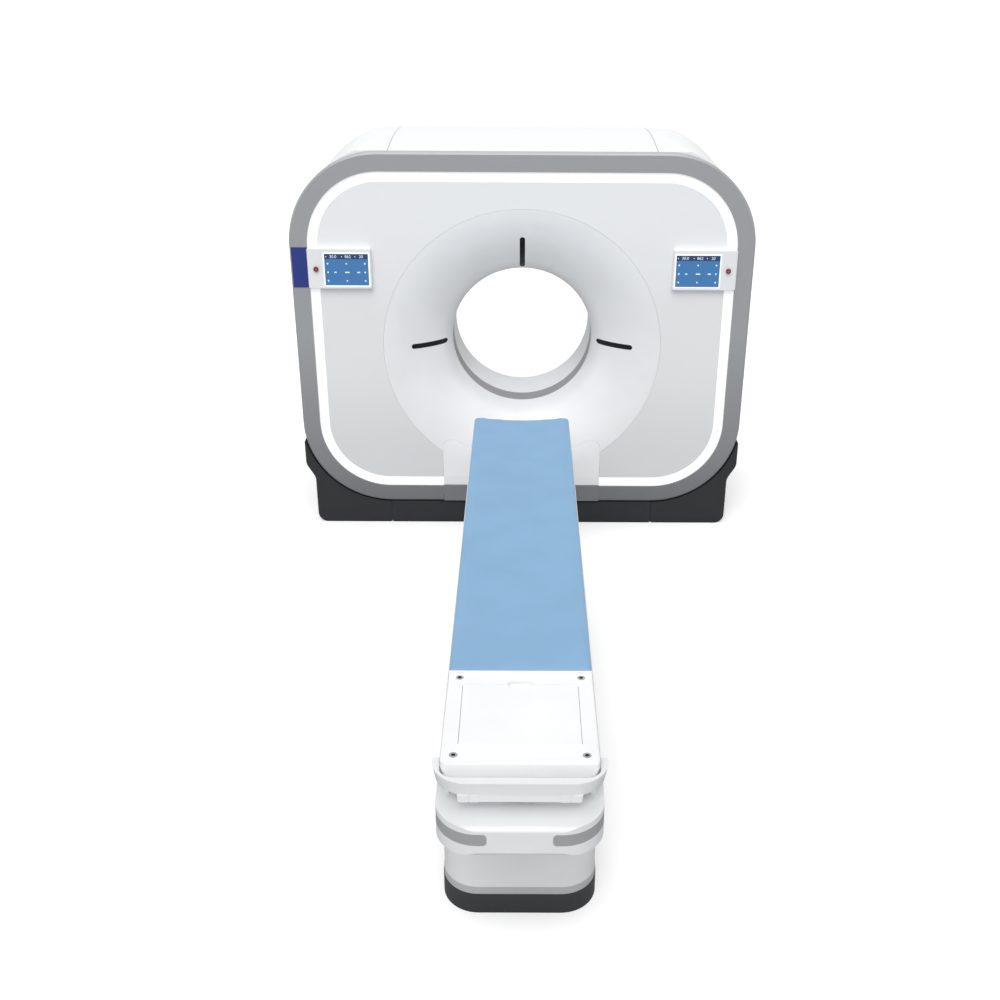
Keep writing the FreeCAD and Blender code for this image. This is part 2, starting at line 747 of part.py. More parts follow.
def make_base_frame():
    """Two channels across the floor, joined by two boxes under the frame's legs."""
    pieces = []
    inner_w = RAIL_W / 2 - RAIL_WALL
    for y in (-RAIL_Y, RAIL_Y):
        rail = box(-RAIL_HALF_L, RAIL_HALF_L, y - RAIL_W / 2, y + RAIL_W / 2, 0, RAIL_H)
        trough = box(-RAIL_HALF_L - 1, RAIL_HALF_L + 1, y - inner_w, y + inner_w, RAIL_WALL, RAIL_H + 1)
        pieces.append(rail.cut(trough))
    leg_half_y = RAIL_Y - RAIL_W / 2
    for low, high in ((LEG_IN_X, LEG_OUT_X), (-LEG_OUT_X, -LEG_IN_X)):
        tie = box(low, high, -leg_half_y, leg_half_y, 0, RAIL_H)
        core = box(low + RAIL_WALL, high - RAIL_WALL, -leg_half_y - 1, leg_half_y + 1, -1, RAIL_H - RAIL_WALL)
        pieces.append(tie.cut(core))
        pieces.append(box(low, high, STATOR_Y - LEG_SEAT, RAIL_Y + RAIL_W / 2, RAIL_H, RAIL_H + RAIL_WALL))
    frame = join(pieces)
    for x in (-BOLT_X, BOLT_X):
        for y in (-RAIL_Y, RAIL_Y):
            frame = frame.cut(rod("z", BOLT_R, -1, RAIL_WALL + 1, x, y))
    return frame


# ---- Control panels ----
def make_control(sign):
    """Housing, screen and stop button of one control panel; sign is +1 on the right."""
    low = CONTROL_Z - CONTROL_H / 2
    high = CONTROL_Z + CONTROL_H / 2
    corners = [
        (CONTROL_IN_X, low, CONTROL_R),
        (CONTROL_OUT_X, low, CONTROL_R),
        (CONTROL_OUT_X, high, CONTROL_R),
        (CONTROL_IN_X, high, CONTROL_R),
    ]
    shell = prism("y", corners, STOP_Y, PANEL_Y)
    front = [edge for edge in shell.Edges if abs(edge.CenterOfMass.y - STOP_Y) < 0.01]
    shell = shell.makeChamfer(CONTROL_CHAMFER, front)
    screen_x = CONTROL_IN_X + SCREEN_IN
    screen_z = CONTROL_Z - SCREEN_H / 2 - SCREEN_DROP
    screen_end = screen_x + SCREEN_W
    screen_top = screen_z + SCREEN_H
    recess = box(screen_x, screen_end, STOP_Y - 1, STOP_Y + SCREEN_T, screen_z, screen_top)
    shell = shell.cut(recess)
    stem_end = STOP_Y - STOP_TRAVEL - STOP_CLEAR + STOP_STEM_L
    well_end = stem_end + STOP_TRAVEL + STOP_CLEAR
    shell = shell.cut(rod("y", STOP_STEM_R + PIN_FIT, STOP_Y - 1, well_end, STOP_X, CONTROL_Z))
    screen = box(
        screen_x + SCREEN_FIT, screen_x + SCREEN_W - SCREEN_FIT,
        STOP_Y + SCREEN_FIT, STOP_Y + SCREEN_T,
        screen_z + SCREEN_FIT, screen_z + SCREEN_H - SCREEN_FIT,
    )
    head_back = stem_end - STOP_STEM_L
    head = rod("y", STOP_R, head_back - STOP_HEAD_H, head_back, STOP_X, CONTROL_Z)
    stem = rod("y", STOP_STEM_R, head_back, stem_end, STOP_X, CONTROL_Z)
    button = join([head, stem])
    if sign < 0:
        return flip(shell), flip(screen), flip(button)
    return shell, screen, button


def make_side_tag():
    low = CONTROL_Z - CONTROL_H / 2
    half = FACE_HALF_W - TRIM_CHAMFER
    return box(-half, -CONTROL_OUT_X - SEAM, FACE_Y - TAG_T, FACE_Y, low, low + CONTROL_H)


# ---- Inside the gantry ----
def make_stator_frame():
    leg_top = RAIL_H + RAIL_WALL
    high = ISO_Z + STATOR_HOLE_R + STATOR_HEAD
    corners = mirrored([
        (LEG_IN_X, leg_top, 0),
        (LEG_OUT_X, leg_top, 0),
        (LEG_OUT_X, leg_top + STATOR_LEG_H, STATOR_LEG_R),
        (MOTOR_X + STATOR_SIDE, MOTOR_Z, STATOR_LEG_R),
        (MOTOR_X + STATOR_SIDE, ISO_Z + STATOR_SHOULDER, STATOR_SHOULDER_R),
        (MOTOR_X - STATOR_HEAD_IN, high, STATOR_HEAD_R),
    ])
    plate = prism("y", corners, STATOR_Y, STATOR_Y + STATOR_T)
    near = STATOR_Y - 1
    far = STATOR_Y + STATOR_T + 1
    between = box(-LEG_IN_X, LEG_IN_X, near, far, leg_top - 1, leg_top + STATOR_LEG_H)
    plate = plate.cut(between)
    hole = rod("y", STATOR_HOLE_R, STATOR_Y - 1, STATOR_Y + STATOR_T + 1, 0, ISO_Z)
    shaft = rod("y", PULLEY_SHAFT_R + PULLEY_SHAFT_GAP, near, far, MOTOR_X, MOTOR_Z)
    reach = FACE_HALF_W - HOUSING_INSET - HOUSING_T - FIT
    side = MOTOR_X + STATOR_SIDE - STATOR_ARM_IN
    arm_low = ISO_Z - STATOR_ARM_HALF_H
    arms = [box(side, reach, STATOR_Y, STATOR_Y + STATOR_T, arm_low, ISO_Z + STATOR_ARM_HALF_H)]
    arms.append(flip(arms[0]))
    return join([plate.cut(hole).cut(shaft)] + arms)


def make_bearing():
    start = STATOR_Y - RACE_W
    return ring(RACE_R + RACE_GAP + RACE_T, RACE_R + RACE_GAP, start, STATOR_Y)


def make_rotor():
    """Disc with the hub that turns in the bearing and carries the slip ring."""
    back = ROTOR_Y + ROTOR_T
    disc = ring(ROTOR_R, HUB_BORE_R, ROTOR_Y, back)
    hub_end = STATOR_Y + STATOR_T + HUB_RUN + SLIP_W
    hub = ring(HUB_R, HUB_BORE_R, back, hub_end)
    race = ring(RACE_R, HUB_R, back, STATOR_Y - RACE_END_GAP)
    return join([disc, hub, race])


def make_slip_ring():
    start = STATOR_Y + STATOR_T + HUB_RUN
    return ring(HUB_R + SLIP_T, HUB_R + FIT, start, start + SLIP_W)


def make_brush_block():
    start = STATOR_Y + STATOR_T
    end = start + HUB_RUN + SLIP_W
    reach = HUB_R + SLIP_T + BRUSH_GAP
    top = ISO_Z - reach + BRUSH_WRAP
    block = box(-BRUSH_HALF_W, BRUSH_HALF_W, start, end, top - BRUSH_H, top)
    clear = rod("y", reach, start - 1, end + 1, 0, ISO_Z)
    return block.cut(clear)


def make_xray_tube():
    centre = ISO_Z + TUBE_CENTRE_R
    body = rod("y", TUBE_R, TUBE_FRONT, ROTOR_Y, 0, centre)
    cap = rod("y", TUBE_R * TUBE_CAP_SHARE, TUBE_FRONT - TUBE_CAP_L, TUBE_FRONT, 0, centre)
    saddle = box(-TUBE_R, TUBE_R, FAN_FRONT, ROTOR_Y, centre - TUBE_R - TUBE_SADDLE_H, centre)
    return join([body, cap, saddle])


def make_collimator():
    top = ISO_Z + TUBE_CENTRE_R - TUBE_R - TUBE_SADDLE_H
    low = ISO_Z + BORE_R + COLLIMATOR_GAP
    corners = mirrored([(COLLIMATOR_HALF_W, low, 0), (COLLIMATOR_TOP_HALF_W, top, 0)])
    return prism("y", corners, FAN_FRONT, ROTOR_Y)


def make_detector():
    """Arc of detector modules, centred on the focal spot."""
    focus = ISO_Z + FOCUS_R
    outer_r = DETECTOR_R + DETECTOR_T
    outer = rod("y", outer_r, FAN_FRONT, ROTOR_Y, 0, focus)
    inner = rod("y", DETECTOR_R, FAN_FRONT - 1, ROTOR_Y + 1, 0, focus)
    reach = outer_r / math.cos(math.radians(DETECTOR_HALF_ANGLE)) + PAST
    spread = reach * math.tan(math.radians(DETECTOR_HALF_ANGLE))
    corners = [(0, focus, 0), (spread, focus - reach, 0), (-spread, focus - reach, 0)]
    fan = prism("y", corners, FAN_FRONT - 1, ROTOR_Y + 1)
    return outer.cut(inner).common(fan)


def make_tanks():
    """Two power units, hung low enough to balance the tube across the rotor."""
    outer_x = math.sqrt((ROTOR_R - TANK_RIM_GAP) ** 2 - (TANK_HALF_H + TANK_DROP) ** 2)
    low = ISO_Z - TANK_DROP - TANK_HALF_H
    high = ISO_Z - TANK_DROP + TANK_HALF_H
    corners = [(TANK_IN_X, low), (outer_x, low), (outer_x, high), (TANK_IN_X, high)]
    tank = prism("y", [(x, z, TANK_EDGE_R) for x, z in corners], TANK_FRONT, ROTOR_Y)
    return Part.makeCompound([tank, flip(tank)])


def make_drive():
    """Motor and pulley at the lower right of the frame, beside the rotor's rim."""
    back = STATOR_Y + STATOR_T
    motor = rod("y", MOTOR_R, back, back + MOTOR_L, MOTOR_X, MOTOR_Z)
    well = back + PULLEY_SHAFT_IN + STOP_CLEAR
    motor = motor.cut(rod("y", PULLEY_SHAFT_R + PIN_FIT, back - 1, well, MOTOR_X, MOTOR_Z))
    wheel_end = BELT_Y + BELT_W + PULLEY_FLANGE
    wheel = rod("y", PULLEY_R, BELT_Y - PULLEY_FLANGE, wheel_end, MOTOR_X, MOTOR_Z)
    shaft = rod("y", PULLEY_SHAFT_R, BELT_Y + BELT_W, back + PULLEY_SHAFT_IN, MOTOR_X, MOTOR_Z)
    return motor, join([wheel, shaft])


def belt_loop(grow, start, end):
    """Solid inside a belt line around the rotor's rim and the pulley."""
    big = ROTOR_R + grow
    small = PULLEY_R + grow
    centre = V(0, start, ISO_Z)
    far = V(MOTOR_X, start, MOTOR_Z)
    along = far - centre
    distance = along.Length
    along.normalize()
    side = V(along.z, 0, -along.x)
    lean = math.acos((big - small) / distance)
    tilt_up = along * math.cos(lean) + side * math.sin(lean)
    tilt_down = along * math.cos(lean) - side * math.sin(lean)
    edges = [
        Part.Arc(centre + tilt_up * big, centre - along * big, centre + tilt_down * big).toShape(),
        Part.makeLine(centre + tilt_down * big, far + tilt_down * small),
        Part.Arc(far + tilt_down * small, far + along * small, far + tilt_up * small).toShape(),
        Part.makeLine(far + tilt_up * small, centre + tilt_up * big),
    ]
    return Part.Face(Part.Wire(edges)).extrude(V(0, end - start, 0))


def make_belt():
    outer = belt_loop(BELT_GAP + BELT_T, BELT_Y, BELT_Y + BELT_W)
    return outer.cut(belt_loop(BELT_GAP, BELT_Y - 1, BELT_Y + BELT_W + 1))


# ---- Couch base and lift ----
def couch_plan(inset):
    half = COUCH_BASE_HALF_W - inset
    low = COUCH_FRONT + inset
    high = COUCH_REAR - inset
    radius = COUCH_CORNER_R - inset
    return [(half, low, radius), (half, high, radius), (-half, high, radius), (-half, low, radius)]


def sleeve(inset, wall, low, high):
    """Upright wall that follows the couch's plan."""
    outer = prism("z", couch_plan(inset), low, high)
    return outer.cut(prism("z", couch_plan(inset + wall), low - 1, high + 1))


def couch_columns(width, low, high):
    """Square posts at the two lift columns."""
    half = width / 2
    posts = []
    for y in (COUCH_MID_Y - COLUMN_Y, COUCH_MID_Y + COLUMN_Y):
        posts.append(box(-half, half, y - half, y + half, low, high))
    return Part.makeCompound(posts)


def column_width(step):
    """Outer width of a lift tube: step 0 is the outermost, on the couch body."""
    return COLUMN_W - 2 * step * (COLUMN_WALL + COLUMN_GAP)


def tubes(step, low, high):
    width = column_width(step)
    core = couch_columns(width - 2 * COLUMN_WALL, low - 1, high + 1)
    return couch_columns(width, low, high).cut(core)


def make_shrouds():
    """Three nested walls; the middle one rises half as far and hangs on its web."""
    step = SHROUD_T + SHROUD_GAP
    lower = sleeve(SHROUD_INSET, SHROUD_T, PLINTH_TOP, LOWER_SHROUD_TOP)
    low = SHROUD_FOOT + LIFT_DOWN / 2
    high = LOWEST_BODY - LIFT_GAP / 2 + LIFT_DOWN / 2
    inset = SHROUD_INSET + step
    web = prism("z", couch_plan(inset + SHROUD_T / 2), low, low + SHROUD_WEB)
    web = web.cut(couch_columns(column_width(1) + 2 * FIT, low - 1, low + SHROUD_WEB + 1))
    middle = join([sleeve(inset, SHROUD_T, low, high), web])
    upper_low = SHROUD_FOOT + SHROUD_WEB + STOP_CLEAR + LIFT_DOWN
    upper = sleeve(inset + step, SHROUD_T, upper_low, BODY_BOTTOM)
    return lower, middle, upper


def make_columns():
    """Fixed inner tubes, middle tubes and the outer tubes under the couch body."""
    upper_low = SHROUD_FOOT + SHROUD_WEB + STOP_CLEAR + LIFT_DOWN
    upper = tubes(0, upper_low, BODY_BOTTOM)
    low = PLATE_T + COLUMN_FOOT + LIFT_DOWN / 2
    high = LOWEST_BODY - LIFT_GAP / 2 + LIFT_DOWN / 2
    middle = tubes(1, low, high)
    fixed = tubes(2, PLATE_T, LOWER_SHROUD_TOP)
    return fixed, middle, upper


def make_base_plate():
    plate = prism("z", couch_plan(FOOT_WALL + FIT), 0, PLATE_T)
    for x in (-COUCH_BOLT_X, COUCH_BOLT_X):
        for y in (COUCH_MID_Y - COUCH_BOLT_Y, COUCH_MID_Y + COUCH_BOLT_Y):
            plate = plate.cut(rod("z", BOLT_R, -1, PLATE_T + 1, x, y))
    return plate


# ---- Couch body ----
def body_form(inset):
    half = BODY_HALF_W - inset
    foot = BODY_FOOT_Y + inset
    head = BODY_HEAD_Y - inset
    radius = BODY_CORNER_R - inset
    low = BODY_BOTTOM + inset
    nose = DECK_Z - BODY_NOSE_H + inset
    high = DECK_Z - inset
    edge = BODY_EDGE_R - inset
    side = [
        (foot, nose, edge),
        (COUCH_FRONT - BODY_FOOT_KEEL, low, BODY_KEEL_R),
        (COUCH_REAR + BODY_HEAD_KEEL, low, BODY_KEEL_R),
        (head, nose, edge),
        (head, high, edge),
        (foot, high, edge),
    ]
    plan = [(half, foot, radius), (half, head, radius), (-half, head, radius), (-half, foot, radius)]
    solid = prism("x", side, -half, half)
    return solid.common(prism("z", plan, low - 1, high + 1))


def inlay_bands(depth, grow):
    """Pair of bands round the foot corners of the body, with round ends."""
    start = BODY_FOOT_Y - 1
    end = BODY_FOOT_Y + INLAY_L + grow
    middle = INLAY_IN_X - grow
    wide = BODY_HALF_W + 1
    low = INLAY_TOP - INLAY_H - grow
    high = INLAY_TOP + grow
    radius = INLAY_R + grow
    side = prism("x", [(start, low, 0), (end, low, radius), (end, high, radius), (start, high, 0)], 0, wide)
    corners = [(middle, low, radius), (wide, low, 0), (wide, high, 0), (middle, high, radius)]
    front = prism("y", corners, start, end)
    half = BODY_HALF_W - depth
    foot = BODY_FOOT_Y + depth
    corner = BODY_CORNER_R - depth
    plan = [(half, foot, corner), (half, end + 1, 0), (-half, end + 1, 0), (-half, foot, corner)]
    band = side.common(front).cut(prism("z", plan, low - 1, high + 1))
    return Part.makeCompound([band, flip(band)])


def make_couch_body():
    body = body_form(0).cut(body_form(BODY_WALL))
    slot_foot = COVER_FOOT_Y
    slot_head = DRIVE_Y + MOTOR_BOX_HALF_L + SLOT_R
    half = CARRIAGE_HALF_W + SLOT_GAP
    corners = [(half, slot_foot), (half, slot_head), (-half, slot_head), (-half, slot_foot)]
    slot = prism("z", [(x, y, SLOT_R) for x, y in corners], DECK_Z - 2 * BODY_WALL, DECK_Z + 1)
    body = body.cut(slot).cut(inlay_bands(INLAY_T, 0))
    ears = []
    ear_x = ROLLER_OUT_X + EAR_GAP
    ear_low = DECK_Z - BODY_WALL / 2
    for x in (ear_x, -ear_x - EAR_T):
        corners = [
            (ROLLER_Y - EAR_HALF_L, ear_low, 0),
            (ROLLER_Y + EAR_HALF_L, ear_low, 0),
            (ROLLER_Y, ROLLER_Z + EAR_RISE, EAR_R),
        ]
        ears.append(prism("x", corners, x, x + EAR_T))
    body = join([body] + ears)
    reach = ear_x + EAR_T + PAST
    bore = rod("x", ROLLER_SHAFT_R + PIN_FIT, -reach, reach, ROLLER_Y, ROLLER_Z)
    return body.cut(bore)


def make_inlays():
    return body_form(0).common(inlay_bands(INLAY_T, -FIT))


def rim_plan(inset, draft, height):
    """Outline of the rim without its round corners: they are true cones."""
    half = RIM_HALF_W - inset
    foot = RIM_FOOT_Y + inset
    bend = RIM_FOOT_Y + RIM_CORNER_R
    back = RIM_ARM_Y + RIM_W
    straight = RIM_HALF_W - RIM_CORNER_R
    corners = [
        (half - draft, bend, 0),
        (half - draft, back, 0),
        (-half + draft, back, 0),
        (-half + draft, bend, 0),
        (-straight, foot + draft, 0),
        (straight, foot + draft, 0),
    ]
    return outline("z", height, corners)


def rim_band(inset):
    """Block with drafted sides: the rim's outside, or its inside at an inset."""
    block = Part.makeLoft([rim_plan(inset, RIM_DRAFT, RIM_LOW), rim_plan(inset, 0, RIM_TOP)], True, True)
    radius = RIM_CORNER_R - inset
    centre = V(RIM_HALF_W - RIM_CORNER_R, RIM_FOOT_Y + RIM_CORNER_R, RIM_LOW)
    corner = Part.makeCone(radius - RIM_DRAFT, radius, RIM_H, centre)
    return join([block, corner, flip(corner)])


def rim_wall(inset, low, high):
    """Upright block set back inside the rim."""
    half = RIM_HALF_W - inset
    foot = RIM_FOOT_Y + inset
    back = RIM_ARM_Y + RIM_W
    radius = RIM_CORNER_R - inset
    corners = [(half, foot, radius), (half, back, 0), (-half, back, 0), (-half, foot, radius)]
    return prism("z", corners, low, high)


def make_rim():
    """Rim round the foot of the tabletop, its apron, four lugs and two legs on the deck."""
    inside = PEDESTAL_SETBACK + PEDESTAL_T
    band = rim_band(0).cut(rim_band(RIM_W))
    legs = rim_wall(PEDESTAL_SETBACK, DECK_Z, RIM_LOW).cut(rim_wall(inside, DECK_Z - 1, RIM_LOW + 1))
    ledge_top = RIM_LOW + LEDGE_T
    ledge = rim_wall(RIM_DRAFT + RIM_W / 2, RIM_LOW, ledge_top)
    ledge = ledge.cut(rim_wall(inside, RIM_LOW - 1, ledge_top + 1))
    wide = RIM_HALF_W + 1
    ahead = box(-wide, wide, RIM_FOOT_Y - 1, RIM_ARM_Y - PEDESTAL_L, DECK_Z - 1, ledge_top + 1)
    front = RIM_FOOT_Y + RIM_DRAFT
    low = RIM_LOW - APRON_DROP
    apron = box(-APRON_HALF_W, APRON_HALF_W, front, front + APRON_T, low, RIM_LOW)
    pieces = [band, legs.cut(ahead), ledge.cut(ahead), apron]
    for side in (-1, 1):
        for step in (-1, 1):
            start = side * LUG_X + step * (LUG_W + LUG_GAP) / 2 - LUG_W / 2
            pieces.append(box(start, start + LUG_W, front - LUG_T, front, low - LUG_DROP, RIM_LOW))
    behind = box(-wide, wide, RIM_ARM_Y, RIM_ARM_Y + 2 * RIM_CORNER_R, DECK_Z - 1, RIM_TOP + 1)
    return join(pieces).cut(behind)


def make_guides():
    cavity = body_form(BODY_WALL)
    end = CARRIAGE_HEAD_Y + SLIDE_TRAVEL + RAIL_OVERRUN
    rails = []
    for x in (-GUIDE_X, GUIDE_X):
        bar = box(x - GUIDE_W / 2, x + GUIDE_W / 2, COVER_FOOT_Y, end, BODY_BOTTOM, GUIDE_TOP)
        rails.append(bar.common(cavity))
    return Part.makeCompound(rails)


def make_roller():
    reach = ROLLER_OUT_X + EAR_GAP + EAR_T
    shaft = rod("x", ROLLER_SHAFT_R, -reach, reach, ROLLER_Y, ROLLER_Z)
    right = rod("x", ROLLER_R, ROLLER_IN_X, ROLLER_OUT_X, ROLLER_Y, ROLLER_Z)
    return join([shaft, right, flip(right)])


def make_slide_drive():
    """Motor on the floor of the body; its bracket rises through the slot to the pulley."""
    start = DRIVE_HALF_W + MOTOR_BOX_GAP
    end = start + MOTOR_BOX_W
    near = DRIVE_Y - MOTOR_BOX_HALF_L
    far = DRIVE_Y + MOTOR_BOX_HALF_L
    bracket_end = start + DRIVE_SHAFT_L
    motor = box(start, end, near, far, BODY_BOTTOM, DECK_Z).common(body_form(BODY_WALL))
    bracket = box(start, bracket_end, near, far, DECK_Z - 2 * BODY_WALL, DRIVE_Z + DRIVE_R / 2)
    motor = join([motor, bracket])
    motor = motor.cut(rod("x", DRIVE_SHAFT_R + PIN_FIT, start - 1, bracket_end, DRIVE_Y, DRIVE_Z))
    wheel = rod("x", DRIVE_R, -DRIVE_HALF_W, DRIVE_HALF_W, DRIVE_Y, DRIVE_Z)
    shaft = rod("x", DRIVE_SHAFT_R, DRIVE_HALF_W, bracket_end - STOP_CLEAR, DRIVE_Y, DRIVE_Z)
    return motor, join([wheel, shaft])


# ---- Tabletop ----
def trough(half, rim_z, depth):
    """Shallow arc across the table: from one edge, through the middle, to the other."""
    return Part.Arc(V(half, 0, rim_z), V(0, 0, rim_z - depth), V(-half, 0, rim_z)).toShape()


def cradle_section(flat, low, under_r, edge_r):
    """Section across the couch top, from its flat underside to its upper edges."""
    return mirrored([
        (flat, low, under_r),
        (TOP_HALF_W, SHOULDER_Z, CRADLE_SIDE_R),
        (TOP_HALF_W, TOP_Z, edge_r),
    ])


def make_tabletop():
    section = cradle_section(CRADLE_FLAT, CRADLE_BOTTOM, CRADLE_UNDER_R, CRADLE_EDGE_R)
    board = prism("y", section, PAD_FOOT_Y + TOP_FOOT_GAP, TOP_HEAD_Y)
    half = TOP_HALF_W - CRADLE_LIP
    edge = TOP_Z - TROUGH_SINK
    high = TOP_Z + PAST
    lid = [
        trough(half, edge, TROUGH_DEPTH),
        Part.makeLine(V(-half, 0, edge), V(-half, 0, high)),
        Part.makeLine(V(-half, 0, high), V(half, 0, high)),
        Part.makeLine(V(half, 0, high), V(half, 0, edge)),
    ]
    seat = Part.Face(Part.Wire(lid))
    seat.translate(V(0, PAD_FOOT_Y, 0))
    board = board.cut(seat.extrude(V(0, TOP_HEAD_Y - PAD_FOOT_Y + PAST, 0)))
    plan = [
        (TOP_HALF_W, PAD_FOOT_Y, 0),
        (TOP_HALF_W, TOP_HEAD_Y, PAD_CORNER_R),
        (-TOP_HALF_W, TOP_HEAD_Y, PAD_CORNER_R),
        (-TOP_HALF_W, PAD_FOOT_Y, 0),
    ]
    return board.common(prism("z", plan, CRADLE_BOTTOM - 1, TOP_Z + 1))


def arc_through(points):
    """Arc through three (x, z) points of a section across the couch."""
    return Part.Arc(*[V(x, 0, z) for x, z in points]).toShape()


def make_mattress():
    """Thin pad with a dished top, drawn-in sides and round corners at its head."""
    half = TOP_HALF_W - CRADLE_LIP - 2 * PAD_GAP
    under = TOP_Z - TROUGH_SINK + PAD_GAP
    over = under + PAD_T
    side = half - PAD_BULGE
    crest = over + PAD_CROWN * 2 / 3
    dish = over + PAD_CROWN - TROUGH_DEPTH
    rounded = [(side, over), (half - PAD_EDGE_R, crest - 0.2), (half - 3 * PAD_EDGE_R, crest)]
    section = [
        trough(side, under, TROUGH_DEPTH),
        arc_through([(-side, under), (-half, (under + over) / 2), (-side, over)]),
        arc_through([(-x, z) for x, z in rounded]),
        arc_through([(3 * PAD_EDGE_R - half, crest), (0, dish), (half - 3 * PAD_EDGE_R, crest)]),
        arc_through(reversed(rounded)),
        arc_through([(side, over), (half, (under + over) / 2), (side, under)]),
    ]
    face = Part.Face(Part.Wire(section))
    face.translate(V(0, PAD_FOOT_Y + PAD_GAP, 0))
    pad = face.extrude(V(0, PAD_HEAD_Y - PAD_FOOT_Y - PAD_GAP, 0))
    wide = half + PAST
    plan = [
        (wide, PAD_FOOT_Y, 0),
        (wide, PAD_HEAD_Y, PAD_CORNER_R),
        (-wide, PAD_HEAD_Y, PAD_CORNER_R),
        (-wide, PAD_FOOT_Y, 0),
    ]
    return pad.common(prism("z", plan, CRADLE_BOTTOM, TOP_Z + 2 * PAD_T))


def hatch_plan(grow):
    half = HATCH_HALF_W + grow
    low = HATCH_FOOT_Y - grow
    high = HATCH_HEAD_Y + grow
    radius = HATCH_R + grow
    pivot_r = HATCH_PIVOT_R + grow
    return [(half, low, pivot_r), (half, high, radius), (-half, high, radius), (-half, low, pivot_r)]


def grip_slot(low_z):
    """Finger slot that straddles the hatch's edge nearest the gantry."""
    low = HATCH_HEAD_Y - GRIP_REACH
    high = HATCH_HEAD_Y + GRIP_REACH
    corners = [(GRIP_HALF_W, low), (GRIP_HALF_W, high), (-GRIP_HALF_W, high), (-GRIP_HALF_W, low)]
    return prism("z", [(x, y, HATCH_R) for x, y in corners], low_z, TOP_Z + 1)


def screw_places():
    return [(x, y) for x in (-SCREW_X, SCREW_X) for y in (SCREW_FOOT_Y, SCREW_HEAD_Y)]


def make_end_cover():
    """Cover at the couch top's foot, with the compartment under the hatch."""
    section = cradle_section(COVER_FLAT, COVER_BOTTOM, COVER_UNDER_R, COVER_EDGE_R)
    foot = COVER_FOOT_Y
    head = PAD_FOOT_Y - COVER_GAP
    plan = [
        (TOP_HALF_W, foot, COVER_CORNER_R),
        (TOP_HALF_W, head, 0),
        (-TOP_HALF_W, head, 0),
        (-TOP_HALF_W, foot, COVER_CORNER_R),
    ]
    cover = prism("y", section, foot, head).common(prism("z", plan, COVER_BOTTOM - 1, TOP_Z + 1))
    cover = cover.cut(prism("z", hatch_plan(HATCH_GAP), TOP_Z - HATCH_T - HATCH_SEAT, TOP_Z + 1))
    half = HATCH_HALF_W - LEDGE_W
    low = HATCH_FOOT_Y + LEDGE_W
    high = HATCH_HEAD_Y - LEDGE_W
    corners = [(half, low), (half, high), (-half, high), (-half, low)]
    cover = cover.cut(prism("z", [(x, y, TRAY_R) for x, y in corners], COMPARTMENT_FLOOR, TOP_Z))
    cover = cover.cut(grip_slot(TOP_Z - HATCH_T - GRIP_DEPTH))
    reach = HATCH_HALF_W + HATCH_PIN_L + 1
    cover = cover.cut(rod("x", HATCH_PIN_R + PIN_FIT, -reach, reach, HATCH_AXIS_Y, HATCH_AXIS_Z))
    for x, y in screw_places():
        cover = cover.cut(rod("z", SCREW_R + FIT, TOP_Z - SCREW_HEAD_H, TOP_Z + 1, x, y))
    return cover


def make_cover_screws():
    low = TOP_Z - SCREW_HEAD_H
    return Part.makeCompound([rod("z", SCREW_R, low, TOP_Z, x, y) for x, y in screw_places()])


def make_hatch_lid():
    lid = prism("z", hatch_plan(0), TOP_Z - HATCH_T, TOP_Z)
    half_t = HATCH_T / 2
    wide = HATCH_HALF_W + 1
    square = box(-wide, wide, HATCH_FOOT_Y - 1, HATCH_AXIS_Y, TOP_Z - HATCH_T - 1, TOP_Z + 1)
    edge = rod("x", half_t, -HATCH_HALF_W - 1, HATCH_HALF_W + 1, HATCH_AXIS_Y, HATCH_AXIS_Z)
    lid = lid.cut(square.cut(edge))
    lid = lid.cut(grip_slot(TOP_Z - HATCH_T - 1))
    reach = HATCH_HALF_W + HATCH_PIN_L
    start = HATCH_HALF_W - HATCH_R
    pin = rod("x", HATCH_PIN_R, start, reach, HATCH_AXIS_Y, HATCH_AXIS_Z)
    return join([lid, pin, flip(pin)])


def make_carriage():
    low = GUIDE_TOP + FIT
    foot = COVER_FOOT_Y + CARRIAGE_FOOT
    half = CARRIAGE_HALF_W
    body = box(-half, half, foot, CARRIAGE_HEAD_Y, low, COVER_BOTTOM)
    step = box(-half, half, PAD_FOOT_Y + TOP_FOOT_GAP, CARRIAGE_HEAD_Y, COVER_BOTTOM, CRADLE_BOTTOM)
    roof = COVER_BOTTOM - TUNNEL_ROOF
    tunnel = box(-TUNNEL_HALF_W, TUNNEL_HALF_W, foot - 1, CARRIAGE_HEAD_Y + 1, low - 1, roof)
    strip_half = STRIP_HALF_W + FIT
    strip_end = CARRIAGE_HEAD_Y - STRIP_HOLD - FIT
    strip_low = CRADLE_BOTTOM - STRIP_T - FIT
    strip_room = box(-strip_half, strip_half, strip_end, CARRIAGE_HEAD_Y + 1, strip_low, CRADLE_BOTTOM + 1)
    return join([body, step]).cut(tunnel).cut(strip_room)


def make_drive_strip():
    start = CARRIAGE_HEAD_Y - STRIP_HOLD
    end = TOP_HEAD_Y - STRIP_HEAD
    return box(-STRIP_HALF_W, STRIP_HALF_W, start, end, CRADLE_BOTTOM - STRIP_T, CRADLE_BOTTOM)


